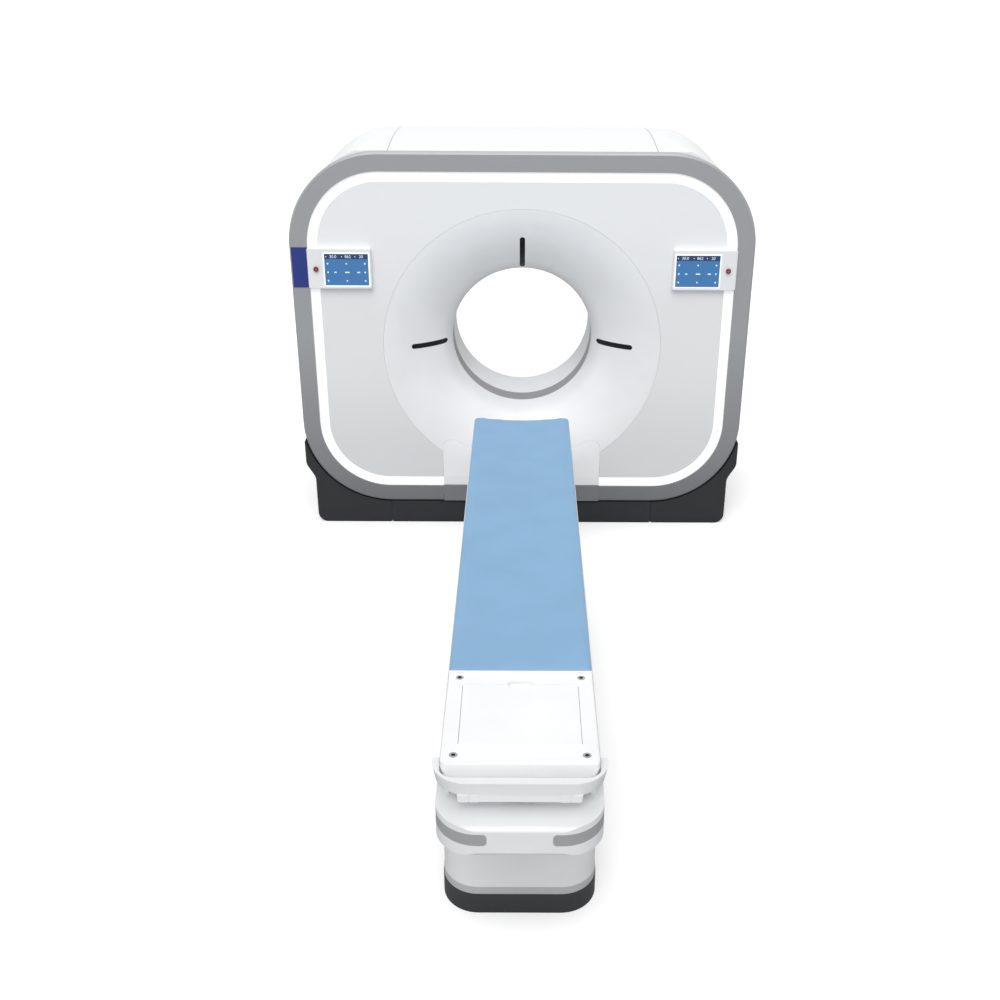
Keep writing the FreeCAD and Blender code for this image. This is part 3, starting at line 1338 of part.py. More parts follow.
def main():
    os.makedirs("parts", exist_ok=True)
    save("trim_ring", make_trim_ring())
    save("light_band", make_light_band())
    save("front_panel", make_front_panel())
    save("docking_panel", make_docking_panel())
    funnel, windows = make_funnel_and_lasers()
    save("front_funnel", funnel)
    save("laser_windows", windows)
    save("scan_window", ring(BORE_R + WINDOW_T, BORE_R, -WINDOW_HALF_W, WINDOW_HALF_W))
    save("rear_bore_shroud", make_rear_bore())
    for node, shape in make_covers().items():
        save(node, shape)
    foot = make_foot()
    save("foot_right", foot)
    save("foot_left", flip(foot))
    save("kick_plate", make_kick_plate())
    save("base_frame", make_base_frame())
    for side, sign in (("left", -1), ("right", 1)):
        shell, screen, button = make_control(sign)
        save("control_housing_" + side, shell)
        save("control_screen_" + side, screen)
        save("stop_button_" + side, button)
    save("side_tag", make_side_tag())
    save("stator_frame", make_stator_frame())
    save("bearing_outer_ring", make_bearing())
    save("rotor_disc", make_rotor())
    save("slip_ring", make_slip_ring())
    save("brush_block", make_brush_block())
    save("xray_tube", make_xray_tube())
    save("collimator", make_collimator())
    save("detector", make_detector())
    save("hv_tanks", make_tanks())
    motor, pulley = make_drive()
    save("drive_motor", motor)
    save("motor_pulley", pulley)
    save("drive_belt", make_belt())
    save("table_kick_cover", sleeve(0, FOOT_WALL, 0, KICK_H))
    save("plinth_ring", sleeve(PLINTH_INSET, FOOT_WALL, KICK_H, PLINTH_TOP))
    save("table_base_plate", make_base_plate())
    lower, middle, upper = make_shrouds()
    save("lower_shroud", lower)
    save("middle_shroud", middle)
    save("upper_shroud", upper)
    fixed, middle, upper = make_columns()
    save("lift_fixed_tubes", fixed)
    save("lift_middle_tubes", middle)
    save("lift_upper_tubes", upper)
    save("table_body", make_couch_body())
    save("side_inlays", make_inlays())
    save("bumper_rim", make_rim())
    save("slide_rails", make_guides())
    save("support_roller", make_roller())
    motor, pulley = make_slide_drive()
    save("slide_motor", motor)
    save("slide_pulley", pulley)
    save("tabletop", make_tabletop())
    save("drive_strip", make_drive_strip())
    save("mattress", make_mattress())
    save("end_cover", make_end_cover())
    save("end_cover_screws", make_cover_screws())
    save("hatch_lid", make_hatch_lid())
    save("carriage", make_carriage())


main()
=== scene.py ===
# %% [markdown]
# # A computed tomography scanner
# The real machine is a gantry as tall as a person with a round bore, and a couch that lifts and
# slides a patient into it. Its covers are large white mouldings, and what gives it life is the
# gloss on them: long soft reflections over rounded shapes. The shapes come from CAD, so this
# script starts with them and adds what CAD doesn't hold: finishes, a padded mat, softened edges,
# screws with sockets, and the pictures on the two screens.

import json
import math

import bmesh
import bpy
from mathutils import Matrix, Vector


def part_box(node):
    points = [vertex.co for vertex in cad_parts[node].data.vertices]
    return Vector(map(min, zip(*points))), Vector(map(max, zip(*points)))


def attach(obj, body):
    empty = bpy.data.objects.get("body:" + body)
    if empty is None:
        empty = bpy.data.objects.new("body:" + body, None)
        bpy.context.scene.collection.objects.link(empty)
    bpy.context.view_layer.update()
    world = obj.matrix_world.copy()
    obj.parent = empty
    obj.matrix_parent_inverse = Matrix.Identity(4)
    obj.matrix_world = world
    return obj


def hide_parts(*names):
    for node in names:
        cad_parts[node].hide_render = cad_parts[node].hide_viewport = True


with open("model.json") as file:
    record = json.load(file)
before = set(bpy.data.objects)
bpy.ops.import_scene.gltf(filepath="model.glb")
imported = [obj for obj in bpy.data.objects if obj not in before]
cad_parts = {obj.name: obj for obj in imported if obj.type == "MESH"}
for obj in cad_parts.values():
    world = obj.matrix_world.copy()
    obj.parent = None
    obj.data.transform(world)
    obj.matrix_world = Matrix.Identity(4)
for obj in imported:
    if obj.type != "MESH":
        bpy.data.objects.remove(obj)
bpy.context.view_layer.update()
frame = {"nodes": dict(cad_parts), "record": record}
solids = frame["nodes"]

# %% [markdown]
# ## Colours and nodes
# Paint and plastic colours are known by the hex codes of a colour chart, which are made for the
# eye. Light adds up in linear numbers, so each code is turned to linear once, here. A material in
# Blender is a graph of nodes. One helper adds a node with its settings and its incoming links, and
# small ones on top of it add a place, a pattern and the closing surface, so that each finish below
# reads as a short list.

# %% Colour and node helpers
def colour(code, share=1.0):
    """Linear colour of an sRGB hex code, or a share of it."""
    channels = [int(code[start:start + 2], 16) / 255 for start in (0, 2, 4)]
    linear = [c / 12.92 if c <= 0.04045 else ((c + 0.055) / 1.055) ** 2.4 for c in channels]
    return [c * share for c in linear] + [1.0]


def add(material, kind, settings, links):
    """Add one node to a material, set its values and join its inputs to other nodes' outputs."""
    node = material.node_tree.nodes.new(kind)
    for name, value in settings.items():
        if name == "stops":
            while len(node.color_ramp.elements) < len(value):
                node.color_ramp.elements.new(1.0)
            for stop, (position, tone) in zip(node.color_ramp.elements, value):
                stop.position = position
                stop.color = tone
        elif name == "between":
            node.color_ramp.interpolation = value
        elif name in node.inputs:
            node.inputs[name].default_value = value
        else:
            setattr(node, name, value)
    for name, (source, output) in links.items():
        material.node_tree.links.new(source.outputs[output], node.inputs[name])
    return node


def blank(name):
    """Material with an empty node graph."""
    material = bpy.data.materials.new(name)
    material.use_nodes = True
    material.node_tree.nodes.clear()
    return material


def per_metre(size_mm):
    """Scale of a pattern, as repeats in a metre, from the size of one repeat in millimetres."""
    return 1000 / size_mm


def here(material):
    """Output with each point's place on its piece, in metres."""
    return add(material, "ShaderNodeTexCoord", {}, {}), "Object"


def pattern(material, kind, size_mm, place, settings):
    """Texture over a place, with one repeat in so many millimetres."""
    scaled = {"Scale": per_metre(size_mm), **settings}
    return add(material, "ShaderNodeTex" + kind, scaled, {"Vector": place})


def surface(material, settings, links):
    """End a material's graph with one surface."""
    shader = add(material, "ShaderNodeBsdfPrincipled", settings, links)
    add(material, "ShaderNodeOutputMaterial", {}, {"Surface": (shader, "BSDF")})
    return material


print("white as light:", [round(c, 3) for c in colour("F2F4F6")])

# %% [markdown]
# ## Sprayed and moulded covers
# The covers are glass-fibre and ABS mouldings, sprayed with satin or gloss white. Spray leaves a
# slight orange peel, a swell about 3 mm across and a few hundredths deep, that breaks reflections
# up a little. Large panels are never one even tone either: over a hand's breadth the colour and
# gloss drift by a percent or two. One function makes the whole family, because the rubber-like
# inlays and the dark foot moulding differ only in tone, gloss and the size of their grain.

# %% Moulded plastics
COVER_CODE = "F3F5F7"
DRIFT_MM = 180
PEEL_MM = 3.0
PEEL_DEPTH_MM = 0.05


def moulding(name, code, roughness, grain_mm, depth_mm, coat=0.0):
    """ABS or polyurethane moulding, IOR 1.5: even tone with a slight drift and a fine grain."""
    material = blank(name)
    place = here(material)
    drift = pattern(material, "Noise", DRIFT_MM, place, {"Detail": 2.0})
    stops = [(0.35, colour(code, 0.965)), (0.65, colour(code))]
    tone = add(material, "ShaderNodeValToRGB", {"stops": stops}, {"Fac": (drift, "Fac")})
    gloss = {"To Min": roughness - 0.03, "To Max": roughness + 0.05}
    sheen = add(material, "ShaderNodeMapRange", gloss, {"Value": (drift, "Fac")})
    grain = pattern(material, "Noise", grain_mm, place, {"Detail": 2.0})
    peel = {"Strength": 0.3, "Distance": depth_mm / 1000}
    bump = add(material, "ShaderNodeBump", peel, {"Height": (grain, "Fac")})
    links = {"Base Color": (tone, "Color"), "Normal": (bump, "Normal")}
    links["Roughness"] = (sheen, "Result")
    settings = {"IOR": 1.5, "Coat Weight": coat, "Coat Roughness": 0.08}
    return surface(material, settings, links)


# Satin lacquer on ABS: broad soft highlights on the gantry.
cover_lacquer = moulding(
    "satin_white_lacquer", COVER_CODE, 0.34, PEEL_MM, PEEL_DEPTH_MM, coat=0.15)
# Gloss gel coat: the couch's mouldings shine a little more.
couch_gelcoat = moulding("gloss_white_gel_coat", "F8F9FA", 0.24, 3.5, 0.05, coat=0.3)
# The couch's body and pedestal are a shade greyer than its top, and less glossy.
body_gelcoat = moulding("satin_pale_gel_coat", "E8EAEB", 0.32, 3.5, 0.05, coat=0.2)
# Unpainted grey ABS: dry and even.
plinth_abs = moulding("grey_abs", "B9BBBD", 0.5, 1.2, 0.08)
# Soft-touch polyurethane: no clear highlight, fine leather-like grain.
inlay_polyurethane = moulding("grey_polyurethane", "A0A2A4", 0.62, 1.0, 0.12)
# Charcoal moulding with a coarse erosion grain, made to hide scuffs.
base_abs = moulding("charcoal_abs", "303134", 0.55, 1.5, 0.15)
# Nylon strip: black and a bit waxy.
strip_nylon = moulding("black_nylon", "1B1B1D", 0.4, 2.0, 0.05)
print("mouldings:", len(bpy.data.materials))

# %% [markdown]
# ## Covers with more than one tone
# The docking panel under the bore is one moulding, but the grey border and the pale diffuser run
# across its foot, so it is sprayed in three tones with a masked edge between them. The top covers
# meet in two shut lines. The real gap is 4 mm wide and rolled in at its lips, which reads as a fine
# grey line from afar; the gap in the solids is only as wide as the fit needs, so the lips' shade is
# drawn beside it. Both are ramps over a distance in metres, along the height and across the width.
# The border round the face is a ramp over its height too. Its grey lacquer holds aluminium flakes
# under a clear coat, and its tone is painted shade: lighter high up and darker near the floor.

# %% Masked tones and shut lines
def toned_lacquer(name, axis, start, end, stops, between, metallic=0.0):
    """Satin lacquer whose tone changes along one axis, from a start to an end in metres."""
    material = blank(name)
    place = here(material)
    split = add(material, "ShaderNodeSeparateXYZ", {}, {"Vector": place})
    side = add(material, "ShaderNodeMath", {"operation": "ABSOLUTE"}, {"Value": (split, axis)})
    span = {"From Min": start, "From Max": end}
    run = add(material, "ShaderNodeMapRange", span, {"Value": (side, "Value")})
    ramp = {"stops": [(share, colour(code)) for share, code in stops], "between": between}
    tone = add(material, "ShaderNodeValToRGB", ramp, {"Fac": (run, "Result")})
    grain = pattern(material, "Noise", PEEL_MM, place, {"Detail": 2.0})
    peel = {"Strength": 0.3, "Distance": PEEL_DEPTH_MM / 1000}
    bump = add(material, "ShaderNodeBump", peel, {"Height": (grain, "Fac")})
    links = {"Base Color": (tone, "Color"), "Normal": (bump, "Normal")}
    settings = {"Roughness": 0.36, "Metallic": metallic}
    settings.update({"Coat Weight": 0.15, "Coat Roughness": 0.08})
    return surface(material, settings, links)


# Grey lacquer up to the border's inner edge, then the diffuser's pale tone, then the cover white.
# The ramp is a metre long, so its stops are heights in metres over the border's foot.
low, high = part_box("trim_ring")
# The grey band is the border's real paint carried across, in the deeper tone of the border's
# painted shade near the floor.
foot_bands = [(0.0, "77797C"), (0.087, "EFF1F2"), (0.135, COVER_CODE)]
docking_lacquer = toned_lacquer(
    "three_tone_lacquer", "Z", low[2], low[2] + 1.0, foot_bands, "CONSTANT")
# The face's tone is painted shade: lighter high up and darker towards its foot.
FACE_INSET = 0.2
face_shade_tones = [(0.0, "DEE0E2"), (0.45, "ECEEEF"), (1.0, "F5F7F9")]
face_lacquer_painted_shade = toned_lacquer(
    "face_lacquer_painted_shade", "Z", low[2] + FACE_INSET, high[2] - FACE_INSET, face_shade_tones, "EASE")
# Silver-grey metallic lacquer, with painted shade: darker near the floor, lighter high up.
border_shade_tones = [(0.0, "7A7C7F"), (0.15, "8E9093"), (0.5, "A8AAAD"), (1.0, "A8AAAD")]
border_lacquer_painted_shade = toned_lacquer(
    "grey_metallic_lacquer_with_painted_shade", "Z", low[2], high[2], border_shade_tones, "LINEAR", metallic=0.35)
# Shade of the rolled lips at each side of a shut line.
LIP_SHADE = 0.004
shut_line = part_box("top_cover_center")[1][0]
line_stops = [(0.2, COVER_CODE), (0.4, "8E9194"), (0.6, "8E9194"), (0.8, COVER_CODE)]
top_lacquer = toned_lacquer(
    "lacquer_with_shut_line", "X", shut_line - LIP_SHADE, shut_line + LIP_SHADE, line_stops, "EASE")
print("shut lines at x:", round(shut_line, 4), "foot bands from z:", round(low[2], 3))

# %% [markdown]
# ## Painted metal
# The cast feet are powder coated, and so are the frames and motors inside. The powder melts into a
# dimpled skin about 2 mm from dimple to dimple. The tanks and the blue plate on the border are
# enamelled, which is smoother. Edges and corners of such parts get rubbed, so the tone is a little
# worn in patches.

# %% Painted metals
WEAR_MM = 90


def painted(name, code, roughness, grain_mm, depth_mm, coat=0.0):
    """Lacquer or powder coat on metal, IOR 1.5: dimpled skin, tone a little worn in patches."""
    material = blank(name)
    place = here(material)
    wear = pattern(material, "Noise", WEAR_MM, place, {"Detail": 6.0, "Roughness": 0.6})
    stops = [(0.3, colour(code, 0.93)), (0.7, colour(code, 1.03))]
    tone = add(material, "ShaderNodeValToRGB", {"stops": stops}, {"Fac": (wear, "Fac")})
    gloss = {"To Min": roughness - 0.05, "To Max": roughness + 0.07}
    sheen = add(material, "ShaderNodeMapRange", gloss, {"Value": (wear, "Fac")})
    dimples = pattern(material, "Voronoi", grain_mm, place, {})
    skin = {"Strength": 0.25, "Distance": depth_mm / 1000}
    bump = add(material, "ShaderNodeBump", skin, {"Height": (dimples, "Distance")})
    links = {"Base Color": (tone, "Color"), "Normal": (bump, "Normal")}
    links["Roughness"] = (sheen, "Result")
    return surface(material, {"Coat Weight": coat, "Coat Roughness": 0.1}, links)


# Charcoal powder coat on cast feet: nearly black, with a soft sparkle from its dimples.
foot_coat = painted("charcoal_powder_coat", "242528", 0.5, 2.0, 0.08)
frame_coat = painted("grey_powder_coat", "8C9094", 0.5, 2.0, 0.08)
tank_coat = painted("pale_grey_enamel", "B4B8BC", 0.35, 3.0, 0.03)
# Blue enamel plate: smooth, with a clear coat that gives one sharp highlight.
tag_enamel = painted("blue_enamel", "1E3385", 0.35, 3.0, 0.02, coat=0.1)
print("with paints:", len(bpy.data.materials))

# %% [markdown]
# ## Bare metal
# The disc and the detector arc are machined aluminium, the shafts and the lift columns are ground
# or drawn steel, and the contact rings are brass. A cutting tool leaves fine parallel lines, which
# stretch every highlight across them. Their real spacing is a few tenths of a millimetre, too fine
# for a picture of the whole machine, so the lines are drawn 2 mm apart. The noise is stretched
# forty times along the bore, as the tool went.

# %% Machined metals
ALONG_THE_BORE = (1, 0.025, 1)


def machined(name, code, roughness, line_mm):
    """Turned, ground or drawn metal: fine parallel tool lines in tone, gloss and relief."""
    material = blank(name)
    place = here(material)
    stretch = add(material, "ShaderNodeMapping", {"Scale": ALONG_THE_BORE}, {"Vector": place})
    lines = pattern(material, "Noise", line_mm, (stretch, "Vector"), {"Detail": 3.0})
    stops = [(0.3, colour(code, 0.85)), (0.7, colour(code))]
    tone = add(material, "ShaderNodeValToRGB", {"stops": stops}, {"Fac": (lines, "Fac")})
    gloss = {"To Min": roughness - 0.06, "To Max": roughness + 0.08}
    sheen = add(material, "ShaderNodeMapRange", gloss, {"Value": (lines, "Fac")})
    relief = {"Strength": 0.2, "Distance": 0.00004}
    bump = add(material, "ShaderNodeBump", relief, {"Height": (lines, "Fac")})
    links = {"Base Color": (tone, "Color"), "Normal": (bump, "Normal")}
    links["Roughness"] = (sheen, "Result")
    return surface(material, {"Metallic": 1.0}, links)


machined_aluminium = machined("machined_aluminium", "DADCDE", 0.34, 2.0)
ground_steel = machined("ground_steel", "B8BABC", 0.26, 2.0)
ring_brass = machined("contact_brass", "D9BE7C", 0.28, 2.5)
print("with metals:", len(bpy.data.materials))

# %% [markdown]
# ## Lit border, windows and screens
# Between the border and the face runs a white diffuser with lamps behind it: milky acrylic that
# glows evenly. The three slots in the mouth are smoked acrylic over positioning lamps, and the
# screens are glass over a blue picture that gives its own light. A screen shows a faint grid of
# picture cells from close by, so its blue changes by a little from cell to cell, 4 mm wide here.

# %% Glass, acrylic and film
def glazing(name, code, roughness, glow, cell_mm, change, shine=0.5):
    """Glass or acrylic, IOR 1.5: a tone behind a clear surface, with a glow of its own."""
    material = blank(name)
    place = here(material)
    cells = pattern(material, "Voronoi", cell_mm, place, {"distance": "CHEBYCHEV"})
    stops = [(0.1, colour(code)), (0.8, colour(code, change))]
    tone = add(material, "ShaderNodeValToRGB", {"stops": stops}, {"Fac": (cells, "Distance")})
    links = {"Base Color": (tone, "Color"), "Emission Color": (tone, "Color")}
    settings = {"Roughness": roughness, "IOR": 1.5, "Specular IOR Level": shine}
    settings["Emission Strength"] = glow
    return surface(material, settings, links)


lit_acrylic = glazing("lit_milky_acrylic", "F8F9FA", 0.3, 0.35, 25.0, 0.98)
smoked_acrylic = glazing("smoked_acrylic", "12171C", 0.3, 0.0, 6.0, 0.9, shine=0.25)
screen_glass = glazing("blue_screen_glass", "457AB0", 0.2, 0.2, 4.0, 0.92, shine=0.3)
header_glass = glazing("dark_screen_strip", "34476A", 0.2, 0.1, 4.0, 0.95, shine=0.3)
mark_glass = glazing("pale_screen_signs", "CFE6FA", 0.2, 0.35, 4.0, 0.97)
button_acrylic = glazing("dark_red_acrylic", "6E1A2C", 0.2, 0.0, 5.0, 0.9)
button_centre = glazing("pale_red_acrylic", "B8646E", 0.25, 0.0, 5.0, 0.93)
window_film = glazing("grey_film", "8A8B8D", 0.35, 0.0, 8.0, 0.95)
print("with glazing:", len(bpy.data.materials))

# %% [markdown]
# ## Coated cloth and rubber
# The mat is foam in a light blue coated cloth that can be wiped clean. Its skin is a soft grain
# over a fine weave, under 1 mm on the real one and drawn at 1.6 mm so that it shows close by. The
# cloth scatters light at grazing angles, which a low sheen gives. The toothed belt is rubber: black
# and rough, with ribs and grooves about 8 mm wide each.

# %% Cloth and rubber
WEAVE_MM = 1.6
FOLD_MM = 140
# At a scale of 1 a wave texture repeats every 0.314 m. This factor makes half a wave one rib wide.
WAVE_PER_RIB = 6.3


def coated_cloth(name, code):
    """Polyurethane-coated cloth: fine woven grain, faint wrinkles, low sheen."""
    material = blank(name)
    place = here(material)
    weave = pattern(material, "Voronoi", WEAVE_MM, place, {"distance": "MANHATTAN"})
    fold = pattern(material, "Noise", FOLD_MM, place, {"Detail": 4.0})
    stops = [(0.3, colour(code, 0.95)), (0.7, colour(code, 1.02))]
    tone = add(material, "ShaderNodeValToRGB", {"stops": stops}, {"Fac": (fold, "Fac")})
    relief = {"Strength": 0.25, "Distance": 0.003}
    wrinkle = add(material, "ShaderNodeBump", relief, {"Height": (fold, "Fac")})
    grain = {"Strength": 0.25, "Distance": 0.0001}
    under = {"Height": (weave, "Distance"), "Normal": (wrinkle, "Normal")}
    bump = add(material, "ShaderNodeBump", grain, under)
    links = {"Base Color": (tone, "Color"), "Normal": (bump, "Normal")}
    settings = {"Roughness": 0.55, "IOR": 1.45, "Sheen Weight": 0.15, "Sheen Roughness": 0.4}
    return surface(material, settings, links)


def ribbed_rubber(name, code, rib_mm):
    """Moulded rubber, IOR 1.52: dull black with ribs of one width across its run."""
    material = blank(name)
    place = here(material)
    ribs = pattern(material, "Wave", rib_mm * WAVE_PER_RIB, place, {"Distortion": 0.4})
    stops = [(0.2, colour(code, 0.7)), (0.8, colour(code))]
    tone = add(material, "ShaderNodeValToRGB", {"stops": stops}, {"Fac": (ribs, "Fac")})
    relief = {"Strength": 0.5, "Distance": 0.001}
    bump = add(material, "ShaderNodeBump", relief, {"Height": (ribs, "Fac")})
    links = {"Base Color": (tone, "Color"), "Normal": (bump, "Normal")}
    return surface(material, {"Roughness": 0.75, "IOR": 1.52}, links)


mat_cloth = coated_cloth("blue_coated_cloth", "85AED2")
belt_rubber = ribbed_rubber("black_belt_rubber", "232324", 8)
print("materials:", len(bpy.data.materials))

# %% [markdown]
# ## Which finish goes where
# Every solid from CAD keeps its shape and only changes its material. The record of the part
# already sorts the solids by material slot, so one table from slot to finish dresses them all, and
# a new solid can't be forgotten. A few nodes then take a finish of their own.

# %% Dress the solids
finishes = {
    "cover_white": cover_lacquer,
    "table_white": couch_gelcoat,
    "trim_grey": border_lacquer_painted_shade,
    "light_white": lit_acrylic,
    "window_grey": window_film,
    "smoked": smoked_acrylic,
    "screen_blue": screen_glass,
    "stop_red": button_acrylic,
    "tag_blue": tag_enamel,
    "foot_dark": foot_coat,
    "base_dark": base_abs,
    "plinth_grey": plinth_abs,
    "inlay_grey": inlay_polyurethane,
    "pad_blue": mat_cloth,
    "frame_steel": frame_coat,
    "rotor_alu": machined_aluminium,
    "bright_steel": ground_steel,
    "slip_brass": ring_brass,
    "tank_grey": tank_coat,
    "belt_black": belt_rubber,
    "strip_black": strip_nylon,
}
slot_of = {part["node"]: part["material_slot"] for part in frame["record"]["subparts"]}
body_of = {}
for body, nodes in frame["record"]["behaviour"]["bodies"].items():
    body_of.update(dict.fromkeys(nodes, body))
own_finish = {"docking_panel": docking_lacquer, "front_panel": face_lacquer_painted_shade}
own_finish["kick_plate"] = foot_coat
for side in ("left", "center", "right"):
    own_finish["top_cover_" + side] = top_lacquer
for node in ("table_body", "bumper_rim", "upper_shroud", "middle_shroud", "lower_shroud"):
    own_finish[node] = body_gelcoat
finish_of = {node: own_finish.get(node, finishes[slot]) for node, slot in slot_of.items()}
for node, piece in solids.items():
    for place in piece.material_slots:
        place.material = finish_of[node]
print("dressed:", len(solids), "with", len(finishes), "finishes")

# %% [markdown]
# ## Softened edges
# No edge of a moulding is sharp: paint and mould give each a radius of a millimetre or more, and
# that radius catches the light as a thin bright line. CAD leaves small edges sharp. Here a copy of
# the solid is merged into one clean mesh, its flat triangles are dissolved, and a Bevel modifier
# rounds what is still sharp. The copy then stands for the solid.

# %% Softened copies
MERGE_DISTANCE = 1e-6
FLAT_ANGLE = math.radians(0.5)
SHARP_ANGLE = math.radians(35)
# How far a point of the solid may lie from where it is looked for, in metres.
LEVEL_SLACK = 1e-4
CORNER_SLACK = 1e-5
ROUND_SLACK = 0.0002
# Radius of the cover's two corners at the couch's foot, in the solid and here.
COVER_ROUND_SOLID = 0.042
COVER_ROUND = 0.016


def placed(name, data):
    """New object in the scene, at the origin."""
    piece = bpy.data.objects.new(name, data)
    bpy.context.scene.collection.objects.link(piece)
    return piece


def settle(piece, material, body):
    """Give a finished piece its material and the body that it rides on."""
    if piece.data.materials:
        piece.data.materials[0] = material
    else:
        piece.data.materials.append(material)
    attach(piece, body)


def finished(edit, name, material, body):
    """Turn a bmesh into a piece of the scene, with its faces outwards."""
    bmesh.ops.recalc_face_normals(edit, faces=edit.faces)
    mesh = bpy.data.meshes.new(name)
    edit.to_mesh(mesh)
    edit.free()
    piece = placed(name, mesh)
    settle(piece, material, body)
    return piece


def merged(node):
    """Copy of a solid's mesh, and a bmesh of it whose doubled points are made one."""
    mesh = solids[node].data.copy()
    edit = bmesh.new()
    edit.from_mesh(mesh)
    bmesh.ops.remove_doubles(edit, verts=edit.verts, dist=MERGE_DISTANCE)
    return mesh, edit


def softened(node, radius, reshape=None):
    """Stand a copy of a solid in for it, with every sharp edge rounded."""
    mesh, edit = merged(node)
    bmesh.ops.dissolve_limit(edit, angle_limit=FLAT_ANGLE, verts=edit.verts, edges=edit.edges)
    if reshape:
        reshape(edit)
    edit.to_mesh(mesh)
    edit.free()
    piece = placed(node + "_softened", mesh)
    bevel = piece.modifiers.new("edges", "BEVEL")
    bevel.width = radius
    bevel.segments = 3
    bevel.limit_method = "ANGLE"
    bevel.angle_limit = SHARP_ANGLE
    bevel.harden_normals = True
    settle(piece, finish_of[node], body_of[node])
    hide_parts(node)
    return piece


def tighten(edit, corner, old, new):
    """Slide the points of two mirrored round corners, seen from above, onto a tighter round."""
    moved = []
    for vert in edit.verts:
        out = Vector((abs(vert.co.x) - corner[0] + old, corner[1] + old - vert.co.y))
        if min(out) > -CORNER_SLACK and abs(out.length - old) < ROUND_SLACK:
            way = out.normalized() * new
            vert.co.x = math.copysign(corner[0] - new + way.x, vert.co.x)
            vert.co.y = corner[1] + new - way.y
            moved.append(vert)
    return moved


def height_at(profile, across):
    """Height of a section, given as points across it, at a distance from its middle."""
    for (near, near_z), (far, far_z) in zip(profile, profile[1:]):
        if near <= across <= far and far > near:
            return near_z + (far_z - near_z) * (across - near) / (far - near)
    return profile[-1][1]


def reshape_cover(edit):
    """Tighten the two corners at the cover's foot from 42 to 16 mm, along its own section."""
    low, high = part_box("end_cover")
    end_points = [v.co for v in edit.verts if v.co.y > high[1] - LEVEL_SLACK and v.co.x > 0]
    head = sorted((point.x, point.z) for point in end_points)
    widest = max(head)[1]
    upper = [point for point in head if point[1] >= widest]
    lower = [point for point in head if point[1] <= widest]
    moved = tighten(edit, (high[0], low[1]), COVER_ROUND_SOLID, COVER_ROUND)
    for vert in moved:
        section = upper if vert.co.z > widest + LEVEL_SLACK else lower
        vert.co.z = height_at(section, abs(vert.co.x))
    print("cover corner points:", len(moved), "widest at z:", round(widest, 4))


for node, radius, reshape in (("end_cover", 0.0015, reshape_cover), ("hatch_lid", 0.0012, None)):
    piece = softened(node, radius, reshape=reshape)
    print(piece.name, "faces:", len(piece.data.polygons))

# %% [markdown]
# The rim is a thick moulded band that keeps hands off the couch top's foot. The moulding is
# thickest in front, so its inner corners are tighter than its outer ones, and four low lugs show
# on the apron under it. The copy's points are moved to that form before its edges are rounded.

# %% Rim
RIM_LOW_Z = 0.804
RIM_TOP_Z = 0.840
RIM_LEAN = 0.008
# Round inner corner of the rim's wall: across and along of its middle, and its radius.
INNER_SOLID = (0.138, -3.3905, 0.078)
INNER = (0.174, -3.4195, 0.042)
INNER_SLACK = 0.0007
LEDGE_END_Y = -3.408
# The rim grows wider from here on outwards, over this distance and by this much.
SPREAD_FROM_X = 0.12
SPREAD_OVER = 0.08
SPREAD = 0.003
LUG_FRONT_SOLID_Y = -3.4835
LUG_FRONT_Y = -3.4820
# Heights of the apron's foot, the lugs' foot and the rim's low edge: in the solid, and here.
NEW_HEIGHTS = {0.773: 0.7735, 0.777: 0.774, RIM_LOW_Z: 0.796}
HEIGHT_SLACK = 2e-4


def lean(height):
    """How far the rim's wall is drawn in at a height: it has mould draft."""
    return RIM_LEAN * min(1.0, max(0.0, (RIM_TOP_Z - height) / (RIM_TOP_Z - RIM_LOW_Z)))


def on_inner_corner(place):
    """Whether a place lies on the solid's round inner corner."""
    across, along, radius = INNER_SOLID
    over_foot = place.z > RIM_LOW_Z - LEVEL_SLACK
    if not (over_foot and abs(place.x) > across - 0.001 and place.y < LEDGE_END_Y):
        return False
    arm = Vector((abs(place.x) - across, place.y - along))
    return abs(arm.length - radius + lean(place.z)) < INNER_SLACK


def reshape_rim(edit):
    """Thicken the rim in front, deepen its face and bring its lugs close to the apron."""
    inner = [vert for vert in edit.verts if on_inner_corner(vert.co)]
    for vert in inner:
        way = Vector((abs(vert.co.x) - INNER_SOLID[0], INNER_SOLID[1] - vert.co.y)).normalized()
        reach = INNER[2] - lean(vert.co.z)
        vert.co.x = math.copysign(1, vert.co.x) * (INNER[0] + way.x * reach)
        vert.co.y = INNER[1] - way.y * reach
    for vert in edit.verts:
        if vert.co.z > RIM_LOW_Z - LEVEL_SLACK:
            share = min(1.0, max(0.0, (abs(vert.co.x) - SPREAD_FROM_X) / SPREAD_OVER))
            vert.co.x += math.copysign(SPREAD * share, vert.co.x)
    for vert in edit.verts:
        if vert.co.y < LUG_FRONT_SOLID_Y and vert.co.z < RIM_LOW_Z + LEVEL_SLACK:
            vert.co.y = LUG_FRONT_Y
        for old, new in NEW_HEIGHTS.items():
            if abs(vert.co.z - old) < HEIGHT_SLACK:
                vert.co.z = new
    print("rim corner points:", len(inner))


piece = softened("bumper_rim", 0.002, reshape=reshape_rim)
print(piece.name, "faces:", len(piece.data.polygons))

# %% [markdown]
# ## The mat
# The real mat is a foam sheet, 16 mm thick at most, in a coated cloth cover. It is dished to hold
# a patient, it lies on the couch top, and its top swells a little between its edges. Cloth with an
# inner pressure gives that swell by itself: a copy of the solid is remeshed to even quads, its
# underside is held still, and the simulation lifts the top. How far a point may move is capped,
# so that the mat keeps its form.

# %% Mat
MAT_VOXEL = 0.005
MAT_CAP = 0.0025
MAT_PRESSURE = 4.0
MAT_STEPS = 20
# Points whose surface faces up less than this share are held still.
HELD_BELOW = 0.3


def as_shown(piece):
    """Mesh of a piece as its modifiers show it."""
    graph = bpy.context.evaluated_depsgraph_get()
    return bpy.data.meshes.new_from_object(piece.evaluated_get(graph))


